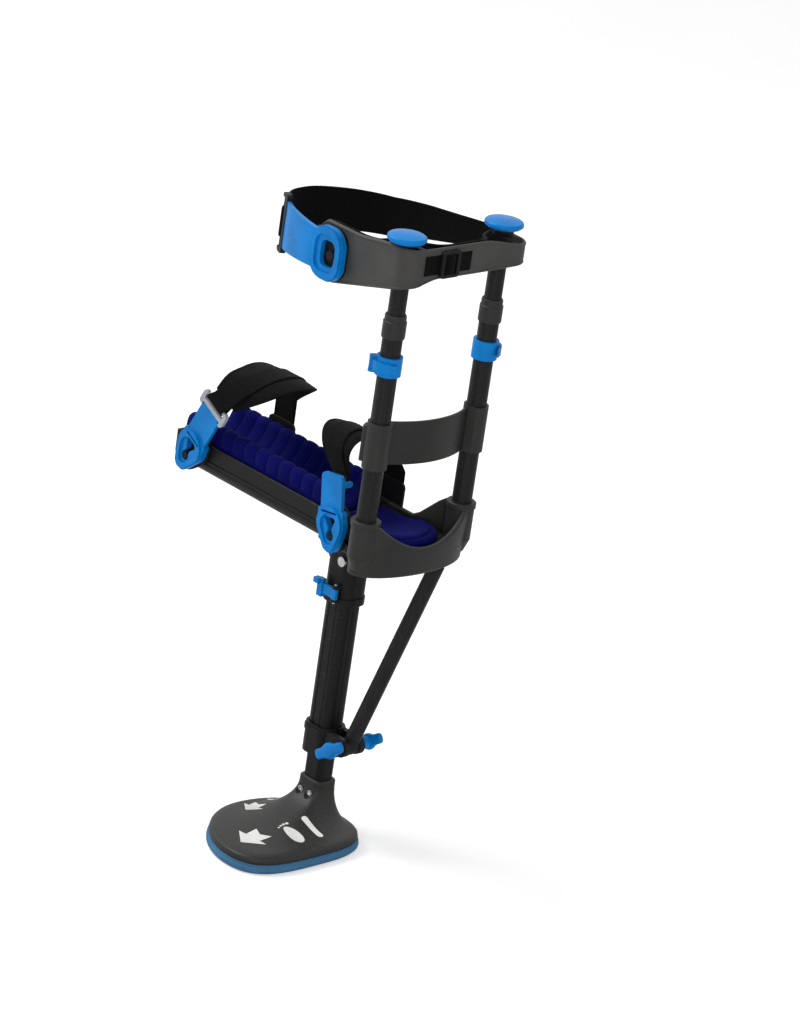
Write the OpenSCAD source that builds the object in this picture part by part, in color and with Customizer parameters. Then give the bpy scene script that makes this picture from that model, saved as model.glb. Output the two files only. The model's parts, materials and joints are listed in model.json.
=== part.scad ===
// Hands free crutch for one bent leg: a foot, a telescopic post, a knee platform and a thigh cuff.
// Millimetres. +X points forward, +Y inboard towards the other leg, +Z up.
// The origin lies on the floor below the axis of the post.

/* [Foot] */
// Reach of the tread in front of the post
foot_front = 98; // [90:1:108]
// Reach of the tread behind the post
foot_back = 66; // [58:1:78]
// Outboard reach of the tread's lobe
foot_outboard = 177; // [168:1:196]
// Inboard reach of the tread
foot_inboard = 24; // [22:1:32]
// Forward lean of the outboard lobe
lobe_lean = 21; // [4:1:24]
// Thickness of the rubber tread
tread_t = 13; // [10:0.5:16]
// Height of the top of the foot's neck
neck_h = 70; // [62:1:74]
// Wall of the neck around the inner post
neck_wall = 3.5; // [3:0.5:8]

/* [Post] */
// Fore-and-aft width of the inner post
post_w = 33; // [30:0.5:36]
// Side-to-side depth of the inner post
post_d = 27; // [24:0.5:30]
// Corner radius of the inner post
post_r = 8; // [6:0.5:10]
// Wall of the inner post
inner_wall = 2.5; // [2:0.25:3.5]
// Wall of the outer post
outer_wall = 3; // [2.5:0.25:4]
// Sliding gap between the two posts
post_gap = 0.5; // [0.3:0.1:0.8]
// Height of the top of the inner post
inner_top = 290; // [260:5:310]
// Height of the underside of the lower collar
collar_z = 105; // [103:1:110]
// Height of the lower collar
collar_h = 40; // [34:1:46]
// Wall of the lower collar
collar_wall = 4; // [3:0.5:6]
// Spacing of the height holes in both telescopes
hole_pitch = 25; // [18:1:30]

/* [Strut] */
// Radius of the strut tube
strut_r = 10; // [8.5:0.5:11]
// Wall of the strut tube
strut_wall = 1.5; // [1:0.25:2.5]
// Forward place of the clamp pin
pin_x = 48; // [46:1:54]
// Radius of the strut's pins
pin_r = 4; // [3:0.5:5]
// Thickness of the strut's end eyes
eye_t = 16; // [12:1:18]
// Length of the handle of each T-knob
knob_len = 54; // [44:1:58]

/* [Platform] */
// Height of the rim under the knee platform
platform_z = 403; // [395:1:420]
// Half width of the leg tray
tray_half = 50; // [46:1:56]
// Height of the tray's sides
tray_side = 42; // [36:1:46]
// Rear end of the leg tray, behind the post
tray_rear = 290; // [260:5:310]
// Wall of the tray and of the knee hoop
tray_wall = 4; // [3:0.5:6]
// Half width of the knee hoop at the uprights
hoop_half = 90; // [88:1:94]
// Forward reach of the knee hoop
hoop_front = 133; // [128:1:140]
// Height of the front lip of the knee hoop
hoop_lip = 37; // [34:1:44]
// Height of the upright sockets on the knee hoop
hoop_socket = 74; // [66:1:84]
// Wall of the post socket
socket_wall = 3.5; // [3:0.5:6]
// Length of the post socket below the rim
socket_len = 88; // [70:1:100]
// Height of the shin cushion's wings above the tray's sides
wing_h = 27; // [18:1:32]
// Pitch of the channels across the shin cushion
channel_pitch = 22; // [18:1:30]
// Thickness of the knee cushion
knee_pad_t = 20; // [14:1:24]

/* [Uprights] */
// Distance between the two uprights
upright_span = 160; // [156:1:164]
// Forward place of the uprights
upright_x = 101; // [99:1:103]
// Outer radius of the lower upright tubes
tube_r = 12.7; // [12:0.1:13.5]
// Wall of the upright tubes
tube_wall = 1.4; // [1:0.1:2]
// Outer radius of the sliding thigh tubes
slide_r = 11; // [9.5:0.1:11.2]
// Running gap between a thigh tube and its ferrule
slide_gap = 0.08; // [0.05:0.01:0.1]
// Length of each upright tube above its seat
upright_len = 310; // [280:5:340]
// Lower end of the thigh tubes above the rim
slide_foot = 160; // [120:5:200]
// Drop of the middle of the height clips below the tops of the upright tubes
clip_drop = 58; // [50:1:80]
// Height of the height clips
clip_h = 24; // [20:1:30]
// Height of the front band
band_h = 56; // [40:1:66]
// Height of the middle of the front band above the rim
band_z = 173; // [150:1:200]
// Forward bulge of the front band
band_bulge = 16; // [10:1:24]

/* [Thigh cuff] */
// Height of the underside of the caps above the rim
cap_z = 436; // [425:1:450]
// Radius of the caps
cap_r = 24.5; // [20:0.5:26]
// Outer reach of the cuff to the outboard side
cuff_out = 98; // [97:0.5:102]
// Outer reach of the cuff to the inboard side
cuff_in = 108; // [104:1:114]
// Outer reach of the cuff to the front
cuff_front = 130; // [128:1:136]
// Rear end of the cuff's outboard wing, behind the post
cuff_rear = 38; // [34:1:50]
// Thickness of the cuff shell
cuff_t = 4; // [3:0.5:5]
// Thickness of the cuff padding
pad_t = 12; // [8:0.5:13]
// Rear reach of the thigh strap, behind the post
strap_rear = 150; // [140:1:165]

/* [Webbing] */
// Width of the webbing at its loops
web_w = 38; // [34:1:40]
// Thickness of the webbing
web_t = 2.5; // [2:0.1:3]
// Height of the calf straps' crown above the loops
calf_rise = 50; // [36:1:60]

/* [Hidden] */

azure = "#1482e1";
sole_blue = "#326ea5";
charcoal = "#3c3a38";
black = "#1e1d1c";
cuff_grey = "#4b4846";
navy = "#10105a";
steel = "#c8ccd0";
loop_grey = "#a8b0b8";

// Gap between parts of one body that seat in each other
seat = 0.1;
// Gap between parts that turn or slide against each other
free = 0.5;
// Gap around soft parts
soft_gap = 0.6;
eps = 0.01;

// Posts
outer_in_w = post_w + 2 * post_gap;
outer_in_d = post_d + 2 * post_gap;
outer_in_r = post_r + post_gap;
outer_w = outer_in_w + 2 * outer_wall;
outer_d = outer_in_d + 2 * outer_wall;
outer_r = outer_in_r + outer_wall;
neck_seat_z = tread_t + 7;
outer_z = collar_z + 13;
socket_z = platform_z - socket_len;
outer_top = platform_z - 4;

// Collar, clamp pin and strut
pin_z = collar_z + collar_h * 0.675;
ear_t = 8;
ear_y = eye_t / 2 + 0.4;
eye_r = 11;
strut_top_x = 110;
strut_top_y = 51;
lug_r = 8.5;
strut_top_z = platform_z + lug_r - 0.5;
strut_dx = strut_top_x - pin_x;
strut_dz = strut_top_z - pin_z;
strut_l = norm([strut_dx, strut_top_y, strut_dz]);
strut_lean = acos(strut_dz / strut_l);
strut_turn = atan2(strut_top_y, strut_dx);
strut_gap = 15;

// Platform
side_z = platform_z + tray_side;
floor_z = platform_z + 5;
hoop_floor_z = platform_z + 24;
hoop_under_z = hoop_floor_z - 6;
hoop_rear = -10;
flare_x = 50;
hoop_mid = upright_x - 6;
half_span = upright_span / 2;
seat_z = hoop_floor_z + 1;
boss_r = tube_r + 4.6;

// Uprights
upright_top = seat_z + upright_len;
ferrule_z = upright_top - 22;
ferrule_top = upright_top + 8;
clip_mid = upright_top - clip_drop;
clip_r = tube_r + 3.6;
lever_pin = clip_r + 4.4;
lever_pin_r = 2;

// Thigh cuff
cap_base = platform_z + cap_z;
housing_r = slide_r + 2.5;
cuff_top = cap_base - 3;
stem_r = slide_r - 1.5;

// Straps and hooks
tray_face = tray_half + tray_wall;
hook_y = tray_face + 0.6;
hook_t = 12;
rear_hub = [35 - tray_rear, platform_z + 31];
front_hub = [22, platform_z + 31];
rear_tilt = 27;
front_tilt = -8;
bar_r = 2.5;
roll_r = bar_r + 0.3;
rear_bar = 84;
front_bar = 56;
thigh_hub = [-5, cap_base - 49];
thigh_face = cuff_out + 3;
thigh_bar = [-118, -80];

function lerp(a, b, u) = a + (b - a) * u;
function smooth(u) = let (v = min(1, max(0, u))) v * v * (3 - 2 * v);
function sgn(v) = v < 0 ? -1 : 1;
function arc(c, r, a, b, n) = [for (k = [0 : n]) let (t = lerp(a, b, k / n)) c + r * [cos(t), sin(t)]];

// Rectangle with round corners, centred
module round_rect(w, d, r) {
    square([w - 2 * r, d], center = true);
    square([w, d - 2 * r], center = true);
    for (x = [-1, 1], y = [-1, 1])
        translate([x * (w / 2 - r), y * (d / 2 - r)])
            circle(r, $fn = 48);
}

// Two circles on the Y axis joined by their outer tangents
module taper(r1, y1, r2, y2) {
    a = asin((r1 - r2) / (y1 - y2));
    translate([0, y1])
        circle(r1, $fn = 64);
    translate([0, y2])
        circle(r2, $fn = 64);
    polygon([[r1 * cos(a), y1 - r1 * sin(a)], [-r1 * cos(a), y1 - r1 * sin(a)],
        [-r2 * cos(a), y2 - r2 * sin(a)], [r2 * cos(a), y2 - r2 * sin(a)]]);
}

// Closed surface through a stack of rings, each a list of points that runs anticlockwise
module loft(rings) {
    n = len(rings[0]);
    m = len(rings);
    polyhedron(
        points = [for (ring = rings, p = ring) p],
        faces = concat(
            [[for (i = [0 : n - 1]) i]],
            [for (k = [0 : m - 2], i = [0 : n - 1]) let (j = (i + 1) % n)
                each [[k * n + i, (k + 1) * n + i, (k + 1) * n + j], [k * n + i, (k + 1) * n + j, k * n + j]]],
            [[for (i = [n - 1 : -1 : 0]) (m - 1) * n + i]]
        ),
        convexity = 8);
}

// Flat band along a plan path that runs anticlockwise; low and high are its edges at each point
module ribbon(path, low, high, t, b) {
    n = len(path);
    loft([for (i = [0 : n - 1])
        let (d = path[min(n - 1, i + 1)] - path[max(0, i - 1)],
             out = [d.y, -d.x] / norm(d),
             o = path[i] + out * t / 2, oo = path[i] + out * (t / 2 - b),
             q = path[i] - out * t / 2, qq = path[i] - out * (t / 2 - b),
             l = low[i], h = high[i])
        [[oo.x, oo.y, h], [o.x, o.y, h - b], [o.x, o.y, l + b], [oo.x, oo.y, l],
         [qq.x, qq.y, l], [q.x, q.y, l + b], [q.x, q.y, h - b], [qq.x, qq.y, h]]]);
}

// Corner cutting of an open path, for soft curves
function cut_corners(p, n) = n == 0 ? p : cut_corners(concat([p[0]],
    [for (i = [0 : len(p) - 2]) each [lerp(p[i], p[i + 1], 0.25), lerp(p[i], p[i + 1], 0.75)]],
    [p[len(p) - 1]]), n - 1);

// Foot

foot_n = 72;
foot_mid = [(foot_front - foot_back) / 2, (foot_inboard - foot_outboard) / 2];
foot_half = [(foot_front + foot_back) / 2, (foot_inboard + foot_outboard) / 2];

// Outline of the foot: fuller in front than behind, with the outboard lobe leaning forward
function foot_point(i, o) =
    let (t = 360 * i / foot_n, e = 2 / (cos(t) > 0 ? 3.2 : 2.1),
         a = foot_half.x - lobe_lean / 8 + o, b = foot_half.y + o,
         x = a * sgn(cos(t)) * pow(abs(cos(t)), e),
         y = b * sgn(sin(t)) * pow(abs(sin(t)), e),
         lean = lobe_lean * pow(min(0, y / b), 2))
    [foot_mid.x + x + lean, foot_mid.y + y];
function foot_ring(o, z) = [for (i = [0 : foot_n - 1]) let (p = foot_point(i, o)) [p.x, p.y, z]];
function neck_point(i) =
    let (t = 360 * i / foot_n, e = 2 / 5)
    [(post_w / 2 + neck_wall) * sgn(cos(t)) * pow(abs(cos(t)), e),
     (post_d / 2 + neck_wall) * sgn(sin(t)) * pow(abs(sin(t)), e)];
// Ring of the concave flare that rises from the rim to the neck
function flare_ring(a, z0) =
    [for (i = [0 : foot_n - 1])
        let (p = lerp(foot_point(i, -6), neck_point(i), sin(a)))
        [p.x, p.y, lerp(z0, neck_h - 8, pow(1 - cos(a), 1.5))]];

module foot_tread() {
    color(sole_blue)
    difference() {
        union() {
            linear_extrude(tread_t)
                polygon([for (i = [0 : foot_n - 1]) foot_point(i, 0.5)]);
            translate([0, 0, 3])
                linear_extrude(tread_t - 6)
                    polygon([for (i = [0 : foot_n - 1]) foot_point(i, 2)]);
        }
        translate([0, 0, -eps])
            linear_extrude(3)
                tread_cuts();
    }
}

// Herringbone of blind cuts under the tread, all inside its outline
module tread_cuts() {
    for (row = [-3 : 3], side = [-1, 1])
        translate(foot_mid + [side * 26 + 4 * (row < 0 ? 1 : 0), row * 22])
            rotate(side * 35)
                square([34, 6], center = true);
}

module foot_shell() {
    rim_z = tread_t + 10;
    color(charcoal)
    difference() {
        loft(concat(
            [foot_ring(-1, tread_t), foot_ring(0, tread_t + 1.5), foot_ring(0, tread_t + 6),
             foot_ring(-1.5, tread_t + 8.7), foot_ring(-4, rim_z - 0.3)],
            [for (a = [8 : 10 : 88]) flare_ring(a, rim_z)],
            [[for (i = [0 : foot_n - 1]) let (p = neck_point(i)) [p.x, p.y, neck_h - 4]],
             [for (i = [0 : foot_n - 1]) let (p = neck_point(i) * 0.95) [p.x, p.y, neck_h]]]));
        translate([0, 0, neck_seat_z])
            linear_extrude(neck_h)
                round_rect(post_w + 2 * seat, post_d + 2 * seat, post_r + seat);
        foot_bolt_axes(2.6, 200);
        for (y = [-1, 1])
            foot_bolt_place()
                translate([0, 0, y * (post_d / 2 + neck_wall + 30)])
                    cylinder(r = 5.4, h = 60, center = true, $fn = 40);
    }
}

// The two cross bolts that hold the inner post in the neck
module foot_bolt_place() {
    for (x = [-8.5, 8.5])
        translate([x, 0, neck_h - 18])
            rotate([90, 0, 0])
                children();
}
module foot_bolt_axes(r, l) {
    foot_bolt_place()
        cylinder(r = r, h = l, center = true, $fn = 40);
}

module foot_bolts() {
    head_y = post_d / 2 + neck_wall;
    color(steel)
    foot_bolt_axes(2.5, 2 * head_y);
    color(steel)
    foot_bolt_place()
        for (s = [-1, 1])
            translate([0, 0, s * (head_y + 1.5)])
                difference() {
                    cylinder(r = 4.6, h = 3, center = true, $fn = 40);
                    translate([0, 0, s * 1.5])
                        cylinder(r = 2.4, h = 3.2, center = true, $fn = 6);
                }
}

// Post

module inner_post() {
    color(black)
    difference() {
        translate([0, 0, neck_seat_z])
            linear_extrude(inner_top - neck_seat_z)
                difference() {
                    round_rect(post_w, post_d, post_r);
                    round_rect(post_w - 2 * inner_wall, post_d - 2 * inner_wall, post_r - inner_wall);
                }
        foot_bolt_axes(2.6, 200);
        for (z = [inner_top - 25 : -hole_pitch : collar_z + collar_h])
            translate([post_w / 2, 0, z])
                rotate([0, 90, 0])
                    cylinder(r = 3.5, h = 12, center = true, $fn = 40);
    }
}

module inner_post_plug() {
    color(charcoal) {
        translate([0, 0, inner_top])
            linear_extrude(4)
                round_rect(post_w, post_d, post_r);
        translate([0, 0, inner_top - 14])
            linear_extrude(14 + eps)
                round_rect(post_w - 2 * inner_wall - 2 * seat, post_d - 2 * inner_wall - 2 * seat,
                    post_r - inner_wall - seat);
    }
}

module outer_profile(grow) {
    round_rect(outer_w + 2 * grow, outer_d + 2 * grow, outer_r + grow);
}

module outer_post() {
    color(black)
    difference() {
        translate([0, 0, outer_z])
            linear_extrude(outer_top - outer_z)
                difference() {
                    outer_profile(0);
                    round_rect(outer_in_w, outer_in_d, outer_in_r);
                    for (x = [-6.5, 6.5], s = [-1, 1])
                        translate([x, s * (outer_d / 2 + 0.7)])
                            circle(1.8, $fn = 32);
                    for (s = [-1, 1])
                        translate([s * (outer_w / 2 + 0.7), 0])
                            circle(1.8, $fn = 32);
                }
        socket_bolt_axis(4.1);
    }
}

// Lower collar: its skirt guides the inner post, its bore holds the outer post, its ears clamp the strut
module post_collar() {
    color(charcoal)
    difference() {
        union() {
            translate([0, 0, collar_z])
                linear_extrude(collar_h)
                    outer_profile(collar_wall);
            translate([0, 0, collar_z + collar_h - 10])
                linear_extrude(6)
                    outer_profile(collar_wall + 1.5);
            for (s = [-1, 1])
                translate([0, s * (ear_y + ear_t / 2) + ear_t / 2, 0])
                    rotate([90, 0, 0])
                        linear_extrude(ear_t)
                            ear_profile();
        }
        translate([0, 0, collar_z - eps])
            linear_extrude(collar_h)
                round_rect(post_w + 0.4, post_d + 0.4, post_r + 0.2);
        translate([0, 0, outer_z])
            linear_extrude(collar_h)
                outer_profile(seat);
        translate([outer_w / 2 - outer_wall, -1.5, collar_z - 1])
            cube([20, 3, collar_h + 2]);
        clamp_pin_axis(pin_r + 0.05, 60);
    }
}
module ear_profile() {
    translate([pin_x, pin_z])
        circle(eye_r + 1, $fn = 64);
    polygon([[outer_w / 2, collar_z + 6], [outer_w / 2, collar_z + collar_h - 2],
        [pin_x, pin_z + eye_r + 1], [pin_x + 4, pin_z - eye_r]]);
}
module clamp_pin_axis(r, l) {
    translate([pin_x, 0, pin_z])
        rotate([90, 0, 0])
            cylinder(r = r, h = l, center = true, $fn = 48);
}

// Strut

module along_strut() {
    translate([pin_x, 0, pin_z])
        rotate([0, strut_lean, strut_turn])
            children();
}

module strut_tube() {
    color(black)
    along_strut()
        translate([0, 0, strut_gap])
            difference() {
                cylinder(r = strut_r, h = strut_l - 2 * strut_gap, $fn = 64);
                translate([0, 0, -1])
                    cylinder(r = strut_r - strut_wall, h = strut_l, $fn = 64);
            }
}

module strut_lower_eye() {
    color(charcoal)
    difference() {
        union() {
            translate([pin_x, 0, pin_z])
                rotate([90, 0, 0])
                    cylinder(r = eye_r, h = eye_t, center = true, $fn = 64);
            along_strut() {
                cylinder(r = min(strut_r, eye_t / 2 + 2), h = strut_gap, $fn = 64);
                cylinder(r = strut_r - strut_wall - seat, h = strut_gap + 22, $fn = 64);
            }
        }
        for (s = [-1, 1])
            translate([pin_x, s * (eye_t / 2 + 10), pin_z])
                cube([2 * eye_r + 4, 20, 2 * eye_r + 4], center = true);
        clamp_pin_axis(pin_r + 0.05, 60);
    }
}

module lug_axis(r, l) {
    translate([strut_top_x, strut_top_y, strut_top_z])
        rotate([90, 0, 0])
            cylinder(r = r, h = l, center = true, $fn = 48);
}

module strut_upper_eye() {
    color(charcoal)
    difference() {
        union() {
            lug_axis(lug_r, eye_t - 4);
            along_strut() {
                translate([0, 0, strut_l - strut_gap])
                    cylinder(r = lug_r - 0.5, h = strut_gap - 2, $fn = 64);
                translate([0, 0, strut_l - strut_gap - 22])
                    cylinder(r = strut_r - strut_wall - seat, h = 22 + eps, $fn = 64);
            }
        }
        for (s = [-1, 1])
            translate([strut_top_x, strut_top_y + s * (eye_t / 2 + 8), strut_top_z])
                cube([2 * lug_r + 2, 20, 2 * lug_r + 2], center = true);
        lug_axis(pin_r - 0.95, 60);
    }
}

module strut_lower_pin() {
    color(steel)
    clamp_pin_axis(pin_r, 2 * (ear_y + ear_t + 16));
}

module strut_upper_pin() {
    color(steel)
    lug_axis(pin_r - 1, eye_t + 12);
}

// T-knob on one end of the clamp pin, with its handle across the axis
module t_knob(s) {
    hub_y = ear_y + ear_t + free;
    grip_y = hub_y + 12;
    color(azure)
    translate([pin_x, 0, pin_z])
        rotate([s * 90, -34 * s, 0])
            mirror([0, 0, 1])
                difference() {
                    union() {
                        translate([0, 0, hub_y])
                            cylinder(r = 8, h = grip_y - hub_y + 2, $fn = 48);
                        translate([0, 0, grip_y])
                            linear_extrude(9)
                                knob_profile(0);
                        translate([0, 0, grip_y + 1.5])
                            linear_extrude(6)
                                knob_profile(1.2);
                    }
                    cylinder(r = pin_r + 0.05, h = ear_y + ear_t + 16.5, $fn = 48);
                }
}
module knob_profile(o) {
    circle(10 + o, $fn = 48);
    round_rect(knob_len - 3 + 2 * o, 14 + 2 * o, 6.5 + o);
}
module t_knob_outboard() {
    t_knob(1);
}
module t_knob_inboard() {
    t_knob(-1);
}

// Knee hoop

hoop_nf = 32;
hoop_ns = 14;
hoop_nr = 6;
hoop_n = hoop_nf + 2 * hoop_ns + hoop_nr;

// Half width of the hoop along its sides: as wide as the tray, then flaring to the uprights
function side_w(x) = lerp(tray_half, hoop_half, smooth((x - flare_x) / (hoop_mid - flare_x)));
// Top edge of the hoop: low in front, up to the sockets, and down again to the tray's sides
function top_z(x, y) = x >= hoop_mid
    ? platform_z + min(hoop_socket - 2, hoop_lip + (hoop_socket - hoop_lip) * pow(y / (half_span - 2), 2))
    : lerp(side_z, platform_z + hoop_socket - 2, smooth((x - flare_x) / (hoop_mid - 12 - flare_x)));
// Outward swell of the sides at x, which dies away where the hoop carries on the tray's flat sides
function hoop_out(o, x) = o > 0 ? o * smooth((x - flare_x) / 30) : o;
// Point of the outline, counted from the middle of the rear edge and moved outwards by o,
// with its bottom and top heights
function hoop_point(i, o) =
    let (j = (i + hoop_n - hoop_nr / 2) % hoop_n)
    j <= hoop_nf
    ? let (t = -90 + 180 * j / hoop_nf, y = hoop_half * sin(t))
      [hoop_mid + (hoop_front - hoop_mid + o) * cos(t), (hoop_half + o) * sin(t),
       platform_z, top_z(hoop_mid, y)]
    : j <= hoop_nf + hoop_ns
    ? let (u = (j - hoop_nf) / hoop_ns, x = lerp(hoop_mid, hoop_rear, u))
      [lerp(hoop_mid, hoop_rear - min(0, o), u), side_w(x) + hoop_out(o, x), platform_z, top_z(x - eps, 0)]
    : j < hoop_nf + hoop_ns + hoop_nr
    ? let (u = (j - hoop_nf - hoop_ns) / hoop_nr)
      [hoop_rear - min(0, o), (tray_half + min(0, o)) * (1 - 2 * u), hoop_under_z - 2, hoop_floor_z + 1]
    : let (u = (hoop_n - j) / hoop_ns, x = lerp(hoop_mid, hoop_rear, u))
      [lerp(hoop_mid, hoop_rear - min(0, o), u), -side_w(x) - hoop_out(o, x), platform_z, top_z(x - eps, 0)];
// Ring at height fraction f between the bottom and top edges, lifted by dz
function hoop_ring(o, f, dz) = [for (j = [0 : hoop_n - 1]) let (p = hoop_point(j, o))
    [p[0], p[1], lerp(p[2], p[3], f) + dz * min(1, (p[3] - p[2]) / 20)]];
function hoop_flat(o, z) = [for (j = [0 : hoop_n - 1]) let (p = hoop_point(j, o)) [p[0], p[1], z]];

module knee_hoop() {
    w = tray_wall + 1;
    color(charcoal)
    difference() {
        union() {
            loft([hoop_flat(-w, hoop_under_z), hoop_ring(-w + 0.6, 0, 1), hoop_ring(-w / 2, 0, 0),
                hoop_ring(-1.2, 0, 0.6), hoop_ring(0, 0, 3), hoop_ring(1.5, 0.35, 0), hoop_ring(2.6, 0.7, 0),
                hoop_ring(3, 1, -2.2), hoop_ring(2.1, 1, -0.6), hoop_ring(0, 1, 0),
                hoop_ring(-w + 2, 1, -0.6), hoop_ring(-w + 1, 1, -2.2),
                hoop_flat(-w, hoop_floor_z)]);
            for (s = [-1, 1])
                translate([upright_x, s * half_span, 0])
                    rotate_extrude($fn = 72)
                        polygon([[0, platform_z + 9], [11, platform_z + 9], [boss_r, platform_z + 25],
                            [boss_r, platform_z + hoop_socket - 8], [boss_r + 1.4, platform_z + hoop_socket - 7],
                            [boss_r + 1.4, platform_z + hoop_socket - 1], [boss_r + 0.4, platform_z + hoop_socket],
                            [0, platform_z + hoop_socket]]);
            for (s = [-1, 1])
                translate([strut_top_x - lug_r + 1, strut_top_y + s * (eye_t / 2 + 0.3) - 1.9, strut_top_z])
                    cube([2 * lug_r - 2, 3.8, hoop_under_z - strut_top_z + 1]);
            for (s = [-1, 1])
                translate([0, s * (eye_t / 2 + 0.3), 0])
                    lug_axis(lug_r, 4);
        }
        for (s = [-1, 1])
            translate([upright_x, s * half_span, seat_z])
                cylinder(r = tube_r + 0.02, h = 100, $fn = 72);
        lug_axis(pin_r - 0.95, eye_t + 12.5);
        platform_bolt_axes(2.6);
    }
}

// Post socket under the platform, with a flange under the tray and a head under the knee hoop

socket_w = outer_w + 2 * socket_wall;
socket_d = outer_d + 2 * socket_wall;
flange_t = 6;
bolt_y = 12;

module post_socket() {
    color(black)
    difference() {
        union() {
            translate([0, 0, socket_z])
                linear_extrude(socket_len)
                    outer_profile(socket_wall);
            translate([0, 0, socket_z])
                linear_extrude(10)
                    outer_profile(socket_wall + 1.5);
            translate([hoop_rear + tray_wall + 3, -socket_d / 2, platform_z - flange_t])
                cube([50 - tray_wall - 3, socket_d, hoop_under_z - platform_z + flange_t]);
            translate([-62, -socket_d / 2, platform_z - flange_t])
                cube([62, socket_d, flange_t]);
            for (s = [-1, 1])
                translate([0, s * 4 + 2, 0])
                    rotate([90, 0, 0])
                        linear_extrude(4)
                            polygon([[-socket_w / 2 + 3, platform_z - 50], [-58, platform_z - flange_t],
                                [-58, platform_z - 2], [-socket_w / 2 + 3, platform_z - 2]]);
            for (z = [-1, 1])
                translate([clip_pin_x, -socket_d / 2, socket_clip_z + z * 9])
                    linear_extrude(4, center = true)
                        clip_lug_profile();
        }
        translate([0, 0, socket_z - eps])
            linear_extrude(outer_top + seat - socket_z)
                outer_profile(seat);
        socket_bolt_axis(4.05);
        platform_bolt_axes(2.6);
        clip_pin_axis(lever_pin_r + 0.05, 40);
    }
}
module clip_lug_profile() {
    translate([0, -clip_reach])
        circle(4.2, $fn = 40);
    translate([-4.2, -clip_reach])
        square([8.4, clip_reach + 2]);
}

clip_pin_x = 10;
clip_reach = 6;
socket_clip_z = socket_z + 9 + 8;

module clip_pin_axis(r, l) {
    translate([clip_pin_x, -socket_d / 2 - clip_reach, socket_clip_z])
        cylinder(r = r, h = l, center = true, $fn = 40);
}

module socket_clip_pin() {
    color(steel)
    clip_pin_axis(lever_pin_r, 26);
}

// Lever of the post socket: a barrel on the pin, a flat arm to the rear and a raised thumb tab
module socket_clip() {
    color(azure)
    translate([clip_pin_x, -socket_d / 2 - clip_reach, socket_clip_z])
        difference() {
            union() {
                cylinder(r = 4.2, h = 13.4, center = true, $fn = 40);
                translate([-26, -2.2, -6.7])
                    cube([26, 4.4, 13.4]);
                translate([-30, -4, -12])
                    cube([9, 6.5, 24]);
                translate([-34, -8, 5])
                    cube([9, 8, 7]);
                translate([0, -4.2, -6.7])
                    cube([5, 4.2, 13.4]);
            }
            cylinder(r = lever_pin_r + 0.05, h = 40, center = true, $fn = 40);
        }
}

module socket_bolt_axis(r) {
    translate([outer_w / 4, 0, platform_z - 28])
        rotate([90, 0, 0])
            cylinder(r = r, h = 90, center = true, $fn = 40);
}
module socket_bolt() {
    color(steel)
    translate([outer_w / 4, 0, platform_z - 28])
        rotate([90, 0, 0]) {
            cylinder(r = 4, h = socket_d, center = true, $fn = 40);
            for (s = [-1, 1])
                translate([0, 0, s * (socket_d / 2 + 1.5)])
                    cylinder(r = 6.5, h = 3, center = true, $fn = 48);
        }
}

// The four bolts that hold the platform on the socket: two through the tray, two through the hoop
module platform_bolt_axes(r) {
    for (s = [-1, 1]) {
        translate([-50, s * bolt_y, platform_z - 20])
            cylinder(r = r, h = 20 + floor_z - platform_z, $fn = 32);
        translate([33, s * bolt_y, platform_z - 20])
            cylinder(r = r, h = 20 + hoop_floor_z - platform_z, $fn = 32);
    }
}
module platform_bolts() {
    color(steel)
    for (s = [-1, 1]) {
        translate([-50, s * bolt_y, 0])
            one_bolt(platform_z - flange_t, floor_z);
        translate([33, s * bolt_y, 0])
            one_bolt(platform_z - flange_t, hoop_floor_z);
    }
}
module one_bolt(z0, z1) {
    translate([0, 0, z0 - eps])
        cylinder(r = 2.5, h = z1 - z0, $fn = 32);
    translate([0, 0, z0 - 3])
        difference() {
            cylinder(r = 4.5, h = 3, $fn = 40);
            translate([0, 0, -1])
                cylinder(r = 2.3, h = 3, $fn = 6);
        }
}

// Leg tray

function tray_outline(o, top) =
    let (r = 15 - o, y = tray_half - o, z = platform_z + o)
    concat([[y, top]], [for (p = arc([y - r, z + r], r, 0, -90, 8)) p],
        [for (p = arc([-y + r, z + r], r, -90, -180, 8)) p], [[-y, top]]);

module along_tray(x0, x1) {
    translate([x0, 0, 0])
        rotate([90, 0, 90])
            linear_extrude(x1 - x0)
                children();
}

// Section of the tray's wall: down one side and up the other, with round lips
function tray_section() =
    let (r = tray_wall / 2, top = side_z - r, inner = tray_outline(tray_wall + 1, side_z - 10), n = len(inner))
    concat(arc([tray_half - r, top], r, 180, 10, 8), tray_outline(0, top),
        arc([-tray_half + r, top], r, 170, 0, 8), [for (i = [n - 1 : -1 : 0]) inner[i]]);

module leg_tray() {
    color(charcoal)
    difference() {
        along_tray(-tray_rear, hoop_rear)
            difference() {
                polygon(tray_section());
                for (s = [-1, 1]) {
                    translate([s * tray_half, side_z - 20])
                        square([2.4, 3], center = true);
                    translate([s * tray_half, side_z - 26])
                        square([1.6, 1.6], center = true);
                }
            }
        platform_bolt_axes(2.6);
        for (x = [-tray_rear + 45 : 40 : -75])
            translate([x, 0, platform_z])
                linear_extrude(3, center = true)
                    round_rect(24, 44, 4);
    }
}

module tray_end_cap() {
    color(black) {
        along_tray(-tray_rear - 5, -tray_rear)
            difference() {
                polygon(tray_outline(0, side_z));
                polygon(tray_outline(14, side_z + 5));
            }
        along_tray(-tray_rear - 2, -tray_rear)
            polygon(tray_outline(2, side_z - 14));
    }
}

// Cushions

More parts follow.
